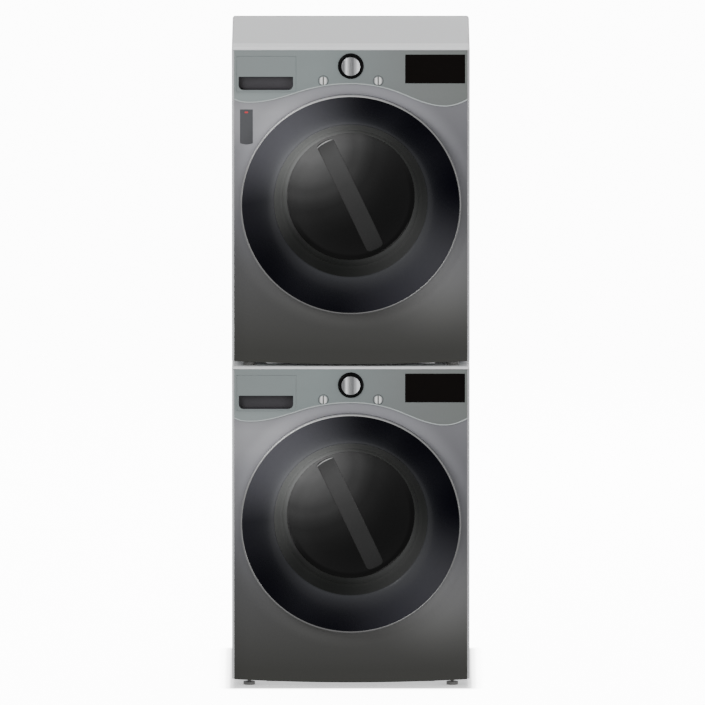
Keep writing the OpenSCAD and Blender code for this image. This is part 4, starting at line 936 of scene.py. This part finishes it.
def set_floor():
    """A white floor with a painted soft shadow close round the foot of the stack."""
    bm = bmesh.new()
    bmesh.ops.create_grid(bm, x_segments=1, y_segments=1, size=60.0)
    floor = linked("floor", closed(bm, "floor", 0))
    f = Finish("floor", Roughness=0.9, Specular_IOR_Level=0.1, Emission_Strength=WHITE)
    corner = CAD_BOX[1]
    # Painted shadow: the floor's glow dims close round the stack's footprint
    outside = hypot((f.x.math("ABSOLUTE") - corner.x + 0.01).math("MAXIMUM", 0.0),
                    (f.y.math("ABSOLUTE") - corner.y + 0.02).math("MAXIMUM", 0.0))
    f.drive(Base_Color=0.92, Emission_Color=f.ramp(
        outside / 0.055, ((0.0, 0.03), (0.2, 0.1), (0.4, 0.42), (0.65, 0.82), (1.0, 1.0)), "EASE"))
    floor.data.materials.append(f.material)
    floor.visible_diffuse = False
    floor.visible_glossy = False


def softbox(name, place, aim, width, height, watts, shines=True):
    """A soft area light. One that doesn't shine casts light but isn't seen in reflections."""
    light = bpy.data.lights.new(name, "AREA")
    light.shape = "RECTANGLE"
    light.size, light.size_y = width, height
    light.energy = watts
    holder = linked(name, light)
    holder.location = place
    holder.rotation_euler = (Vector(aim) - Vector(place)).to_track_quat("-Z", "Y").to_euler()
    holder.visible_glossy = shines


def set_lights():
    """White light from all sides, brighter where the camera sees it, and four soft lights."""
    world = bpy.data.worlds.new("studio")
    world.use_nodes = True
    sky = Graph(world.node_tree)
    seen = sky.add("ShaderNodeLightPath", output="Is Camera Ray")
    background = sky.tree.nodes["Background"].inputs
    feed(sky.tree, background["Color"], 1.0)
    feed(sky.tree, background["Strength"], seen * (WHITE - DAYLIGHT) + DAYLIGHT)
    bpy.context.scene.world = world
    softbox("key", (-3.2, -5.2, 3.6), (0, -0.3, 1.0), 2.2, 2.6, 230)
    softbox("fill", (3.8, -4.4, 0.6), (0, -0.3, 0.8), 1.6, 2.2, 90)
    softbox("top", (0.0, 0.6, 5.2), (0, 0.2, 1.0), 3.0, 3.0, 90, shines=False)
    softbox("back", (1.5, 5.0, 3.0), (0, 0.3, 1.0), 3.0, 2.4, 200, shines=False)


# ----- the door

# Sizes of the door in millimetres, as in the CAD model
RING_R, RING_IN_R, RING_FRONT, RING_BACK = 318.5, 313.0, -45.0, -29.0
DISH_R, DISH_Y0, DISH_D, DISH_T, DISH_CURVE = 221.0, -44.0, 94.0, 3.0, 1.2
BOWL_Y0, FLANGE_R, FLANGE_T = 53.0, 236.0, 3.0
WINDOW_R, WINDOW_Y, DOME, GLASS = 184.0, 148.0, 10.0, 4.0
BAND_W, BAND_END, BAND_TOP, BAND_CORNER = 53.0, 171.0, 177.5, 11.0
BAND_TILT, BAND_RISE, BAND_EASE = math.radians(25.5), 2.0, 3.0


def dish_y(r):
    """Depth of the dish's face at a radius."""
    return DISH_Y0 + DISH_D * (1 - ((r - DISH_R) / (RING_IN_R - DISH_R)) ** DISH_CURVE)


def dome_y(r):
    """Depth of the window's domed face at a radius."""
    return WINDOW_Y + DOME * (1 - (r / WINDOW_R) ** 2)


def add_ring(machine):
    """The metal ring, with its front edges eased."""
    profile = eased([
        (RING_IN_R, RING_BACK), (RING_IN_R, RING_FRONT + 1.2), (RING_IN_R + 1.2, RING_FRONT),
        (RING_R - 2.2, RING_FRONT), (RING_R, RING_FRONT + 2.4), (RING_R, RING_BACK)], 1.4)
    stand_in(machine + "_door_ring", turned(profile, machine, DOOR, 0, 256, 50))


def add_dish(machine):
    """The curved dish between the ring and the bowl."""
    steps = 40
    radii = [RING_IN_R + (DISH_R - RING_IN_R) * i / steps for i in range(steps + 1)]
    front = [(r, dish_y(r)) for r in radii]
    # The inner edge turns back softly into the bowl
    front[-1] = (DISH_R + 0.6, dish_y(DISH_R + 0.6))
    back = [(r, dish_y(r) + DISH_T) for r in reversed(radii)]
    profile = front + [(DISH_R, dish_y(DISH_R) + 0.5)] + back
    stand_in(machine + "_door_dish", turned(profile, machine, DOOR, 0, 256, 50))


def add_bowl(machine):
    """The bowl: a cone with a fine ridge half way down, and a domed window whose edge is eased."""
    dome = [(r, dome_y(r)) for r in (WINDOW_R * 0.985 * i / 24 for i in range(25))]
    # From the window's edge up the cone by the ridge to its mouth, each as steps out and forward
    inside = [(WINDOW_R + out, WINDOW_Y - forward) for out, forward in (
        (-0.6, 0.2), (0.4, 1.6), (4.2, 11.0), (5.0, 13.2), (14.2, 37.0), (14.3, 38.4), (15.4, 40.0))]
    inside += [(DISH_R - 1.2, BOWL_Y0 + 3.0), (DISH_R - 0.2, BOWL_Y0 + 0.6), (DISH_R + 0.6, BOWL_Y0)]
    outside = [
        (FLANGE_R - 0.4, BOWL_Y0), (FLANGE_R, BOWL_Y0 + 0.4), (FLANGE_R, BOWL_Y0 + FLANGE_T - 0.4),
        (FLANGE_R - 0.4, BOWL_Y0 + FLANGE_T), (DISH_R + GLASS + 0.6, BOWL_Y0 + FLANGE_T),
        (DISH_R + GLASS - 0.4, BOWL_Y0 + FLANGE_T + 1.2), (WINDOW_R + GLASS + 1.0, WINDOW_Y + 1.6),
        (WINDOW_R + GLASS - 0.4, WINDOW_Y + GLASS - 0.2)]
    back = [(r, y + GLASS) for r, y in reversed(dome)]
    profile = dome + inside + outside + back
    stand_in(machine + "_door_bowl", turned(profile, machine, DOOR, 0, 224, 60))


def band_spot(t, u):
    """A point of the raised band: x and z from the door's middle, and the band's rise there, in millimetres.

    It is t of the way from the middle to an end, and u to the side of the band's middle line."""
    side = abs(u) - (BAND_W / 2 - BAND_CORNER)
    end = math.sqrt((BAND_TOP if t > 0 else BAND_END) ** 2 - u ** 2)
    if side > 0:
        end -= BAND_CORNER - math.sqrt(max(BAND_CORNER ** 2 - side ** 2, 0.0))
    v = end * t
    inset = min(BAND_W / 2 - abs(u), end - abs(v))
    lift = BAND_RISE * math.sqrt(max(0.0, 1 - max(0.0, 1 - inset / BAND_EASE) ** 2))
    return (u * math.cos(BAND_TILT) - v * math.sin(BAND_TILT),
            u * math.sin(BAND_TILT) + v * math.cos(BAND_TILT), lift)


def add_band(machine):
    """The raised band: a strip with round corners that follows the window's dome, short of its rim."""
    across, along = 16, 72
    loops = []
    for i in range(along + 1):
        t = math.sin(math.pi / 2 * (2 * i / along - 1))
        top, under = [], []
        for k in range(across + 1):
            x, z, lift = band_spot(t, BAND_W / 2 * math.sin(math.pi / 2 * (2 * k / across - 1)))
            face = dome_y(math.hypot(x, z))
            top.append(spot(machine, x, face - lift, DOOR + z))
            under.append(spot(machine, x, face + 1.0, DOOR + z))
        loops.append(top + under[::-1])
    add_piece(machine + "_window_band", skinned(loops, "band", 60, strips=True), machine + "_door",
              "band_glass")


def add_painted_glint(machine):
    """A pale arc along the band's upper end that paints the highlight where its edge catches the light."""
    steps, sides = 28, 8
    loops = []
    for i in range(steps + 1):
        t = i / steps
        angle = math.radians(107.5 + 17.5 * t)
        thick = 1.7 * math.sqrt(max(math.sin(math.pi * t), 0.0)) + 0.15
        middle = BAND_TOP - 3.2 - 4.0 * t ** 3
        loop = []
        for k in range(sides):
            a = 2 * math.pi * k / sides
            r = middle + thick * math.cos(a)
            y = dome_y(r) - BAND_RISE + 0.1 - 0.35 * math.sin(a)
            loop.append(spot(machine, r * math.cos(angle), y, DOOR + r * math.sin(angle)))
        loops.append(loop)
    add_piece(machine + "_band_glint", skinned(loops, "glint", 80), machine + "_door", "glint")


# ----- the front

# The control panel's wavy lower edge: x, its drop from the panel's top in millimetres, and its slope
WAVE = [(-336.0, 143.0, 0.6), (-288.0, 153.0, 0.0), (-140.0, 120.0, -0.31), (0.0, 99.0, 0.0),
        (149.0, 129.0, 0.42), (271.0, 164.0, 0.0), (336.0, 145.0, -0.55)]
BEAD_R, BEAD_RISE = 2.05, 1.35


def wave_drop(x):
    """How far below the panel's top its wavy lower edge runs at x, in millimetres."""
    for (x0, d0, s0), (x1, d1, s1) in zip(WAVE, WAVE[1:]):
        if x <= x1:
            w = x1 - x0
            t = (x - x0) / w
            return ((2 * t ** 3 - 3 * t ** 2 + 1) * d0 + (3 * t ** 2 - 2 * t ** 3) * d1
                    + w * ((t ** 3 - 2 * t ** 2 + t) * s0 + (t ** 3 - t ** 2) * s1))
    return WAVE[-1][1]


def add_wave_bead(machine):
    """Half-round bead along the control panel's wavy edge."""
    steps, sides = 220, 8
    reach, inside, limit = PANEL_HALF - 0.4, PANEL_HALF - 1.0, PANEL_HALF - 0.1
    loops = []
    for i in range(steps + 1):
        x = reach * (2 * i / steps - 1)
        slope = wave_drop(x + 0.5) - wave_drop(x - 0.5) if abs(x) < inside else 0.0
        normal = Vector((slope, 1.0)).normalized()
        middle = Vector((x, PANEL_H - wave_drop(x) + BEAD_R))
        loop = []
        for k in range(sides + 1):
            a = math.pi * k / sides
            out = middle + normal * (BEAD_R * math.cos(a))
            loop.append(spot(machine, max(-limit, min(limit, out.x)), -2.0 - BEAD_RISE * math.sin(a), out.y))
        loops.append(loop)
    add_piece(machine + "_wave_bead", skinned(loops, "bead", 60), "cabinet", "bead_paint")


def add_button_shadow_rings(machine):
    """A dark ring of painted shadow round each push button, on the control face."""
    rim = [(13.9, -0.6), (15.3, -0.6), (15.3, -2.05), (15.1, -2.25), (14.1, -2.25), (13.9, -2.05)]
    for name, x in (("power", -BUTTON_X), ("start", BUTTON_X)):
        add_piece(f"{machine}_{name}_seat", turned(rim, machine, BUTTON_Z, x, 64, 0), "cabinet",
                  "seat_shadow")


def add_label():
    """A bare smoked label on the dryer's front, its lower edge bowed, with a plain red bar."""
    left, right, top, bottom, sag = -319.0, -282.0, PANEL_H - 172.0, PANEL_H - 270.0, 4.0
    bow = [(left + (right - left) * k / 12, bottom - sag * math.sin(math.pi * k / 12)) for k in range(13)]
    add_piece("front_label", plate([(left, top), *bow, (right, top)], "dryer", -0.5, 0.05, 0.2), "cabinet",
              "label")
    bar_x, bar_z, half_w, half_h, corner = -300.5, 722.5, 4.5, 2.1, 0.6
    bar = []
    for sx, sz, start in ((-1, -1, 180), (1, -1, 270), (1, 1, 0), (-1, 1, 90)):
        for k in range(4):
            a = math.radians(start + 30 * k)
            bar.append((bar_x + sx * (half_w - corner) + corner * math.cos(a),
                        bar_z + sz * (half_h - corner) + corner * math.sin(a)))
    add_piece("front_label_bar", plate(bar, "dryer", -0.8, -0.45, 0.12), "cabinet", "label_red")


# ----- dress the whole

# Nodes whose edges are rounded: the width in millimetres, the rings of faces, and whether the edges crowd
MACHINE_EDGES = {
    "control_panel": (0.3, 2, True), "drawer_front": (0.4,), "drawer_tray": (0.6,), "dial": (0.8, 3),
    "power_button": (0.35,), "start_button": (0.35,), "door_frame": (0.8,), "hinge_arm": (0.6,)}
EDGES = {
    "front_panels": 0.5, "side_panels": 0.5, "back_panels": 0.4, "cord_glands": 0.6, "dryer_ducts": 0.4,
    "top_covers": 0.5, "top_trims": 0.5, "front_rails": 0.4, "floor_pans": 0.6, "rear_covers": 0.5,
    "dial_bezels": 0.4, "display_modules": 0.3, "levelling_feet": 0.8, "hinge_brackets": 0.4,
    "door_locks": 0.5, "stacking_brackets": 0.4, "washer_gasket": 0.8, "washer_drum": 0.5,
    "dryer_drum": 0.5, "dryer_bulkhead": 0.4, "dryer_lint_filter": 0.6}


def dress_all():
    """Adds every piece, and gives the CAD nodes that still show their finishes."""
    for machine in MACHINES:
        for add_part in (add_ring, add_dish, add_bowl, add_band, add_painted_glint, add_wave_bead,
                         add_button_shadow_rings, add_cover_screws, add_door_screws, add_drum_holes):
            add_part(machine)
        for part, sizes in MACHINE_EDGES.items():
            dressed(f"{machine}_{part}", *sizes)
    for node, edge in EDGES.items():
        dressed(node, edge)
    add_label()
    add_bracket_screws()
    add_vents()
    for node, shown in NODES.items():
        if not shown.hide_render:
            shown.data.materials.clear()
            shown.data.materials.append(finish(SLOT_OF[node]))


set_camera()
set_floor()
set_lights()
dress_all()
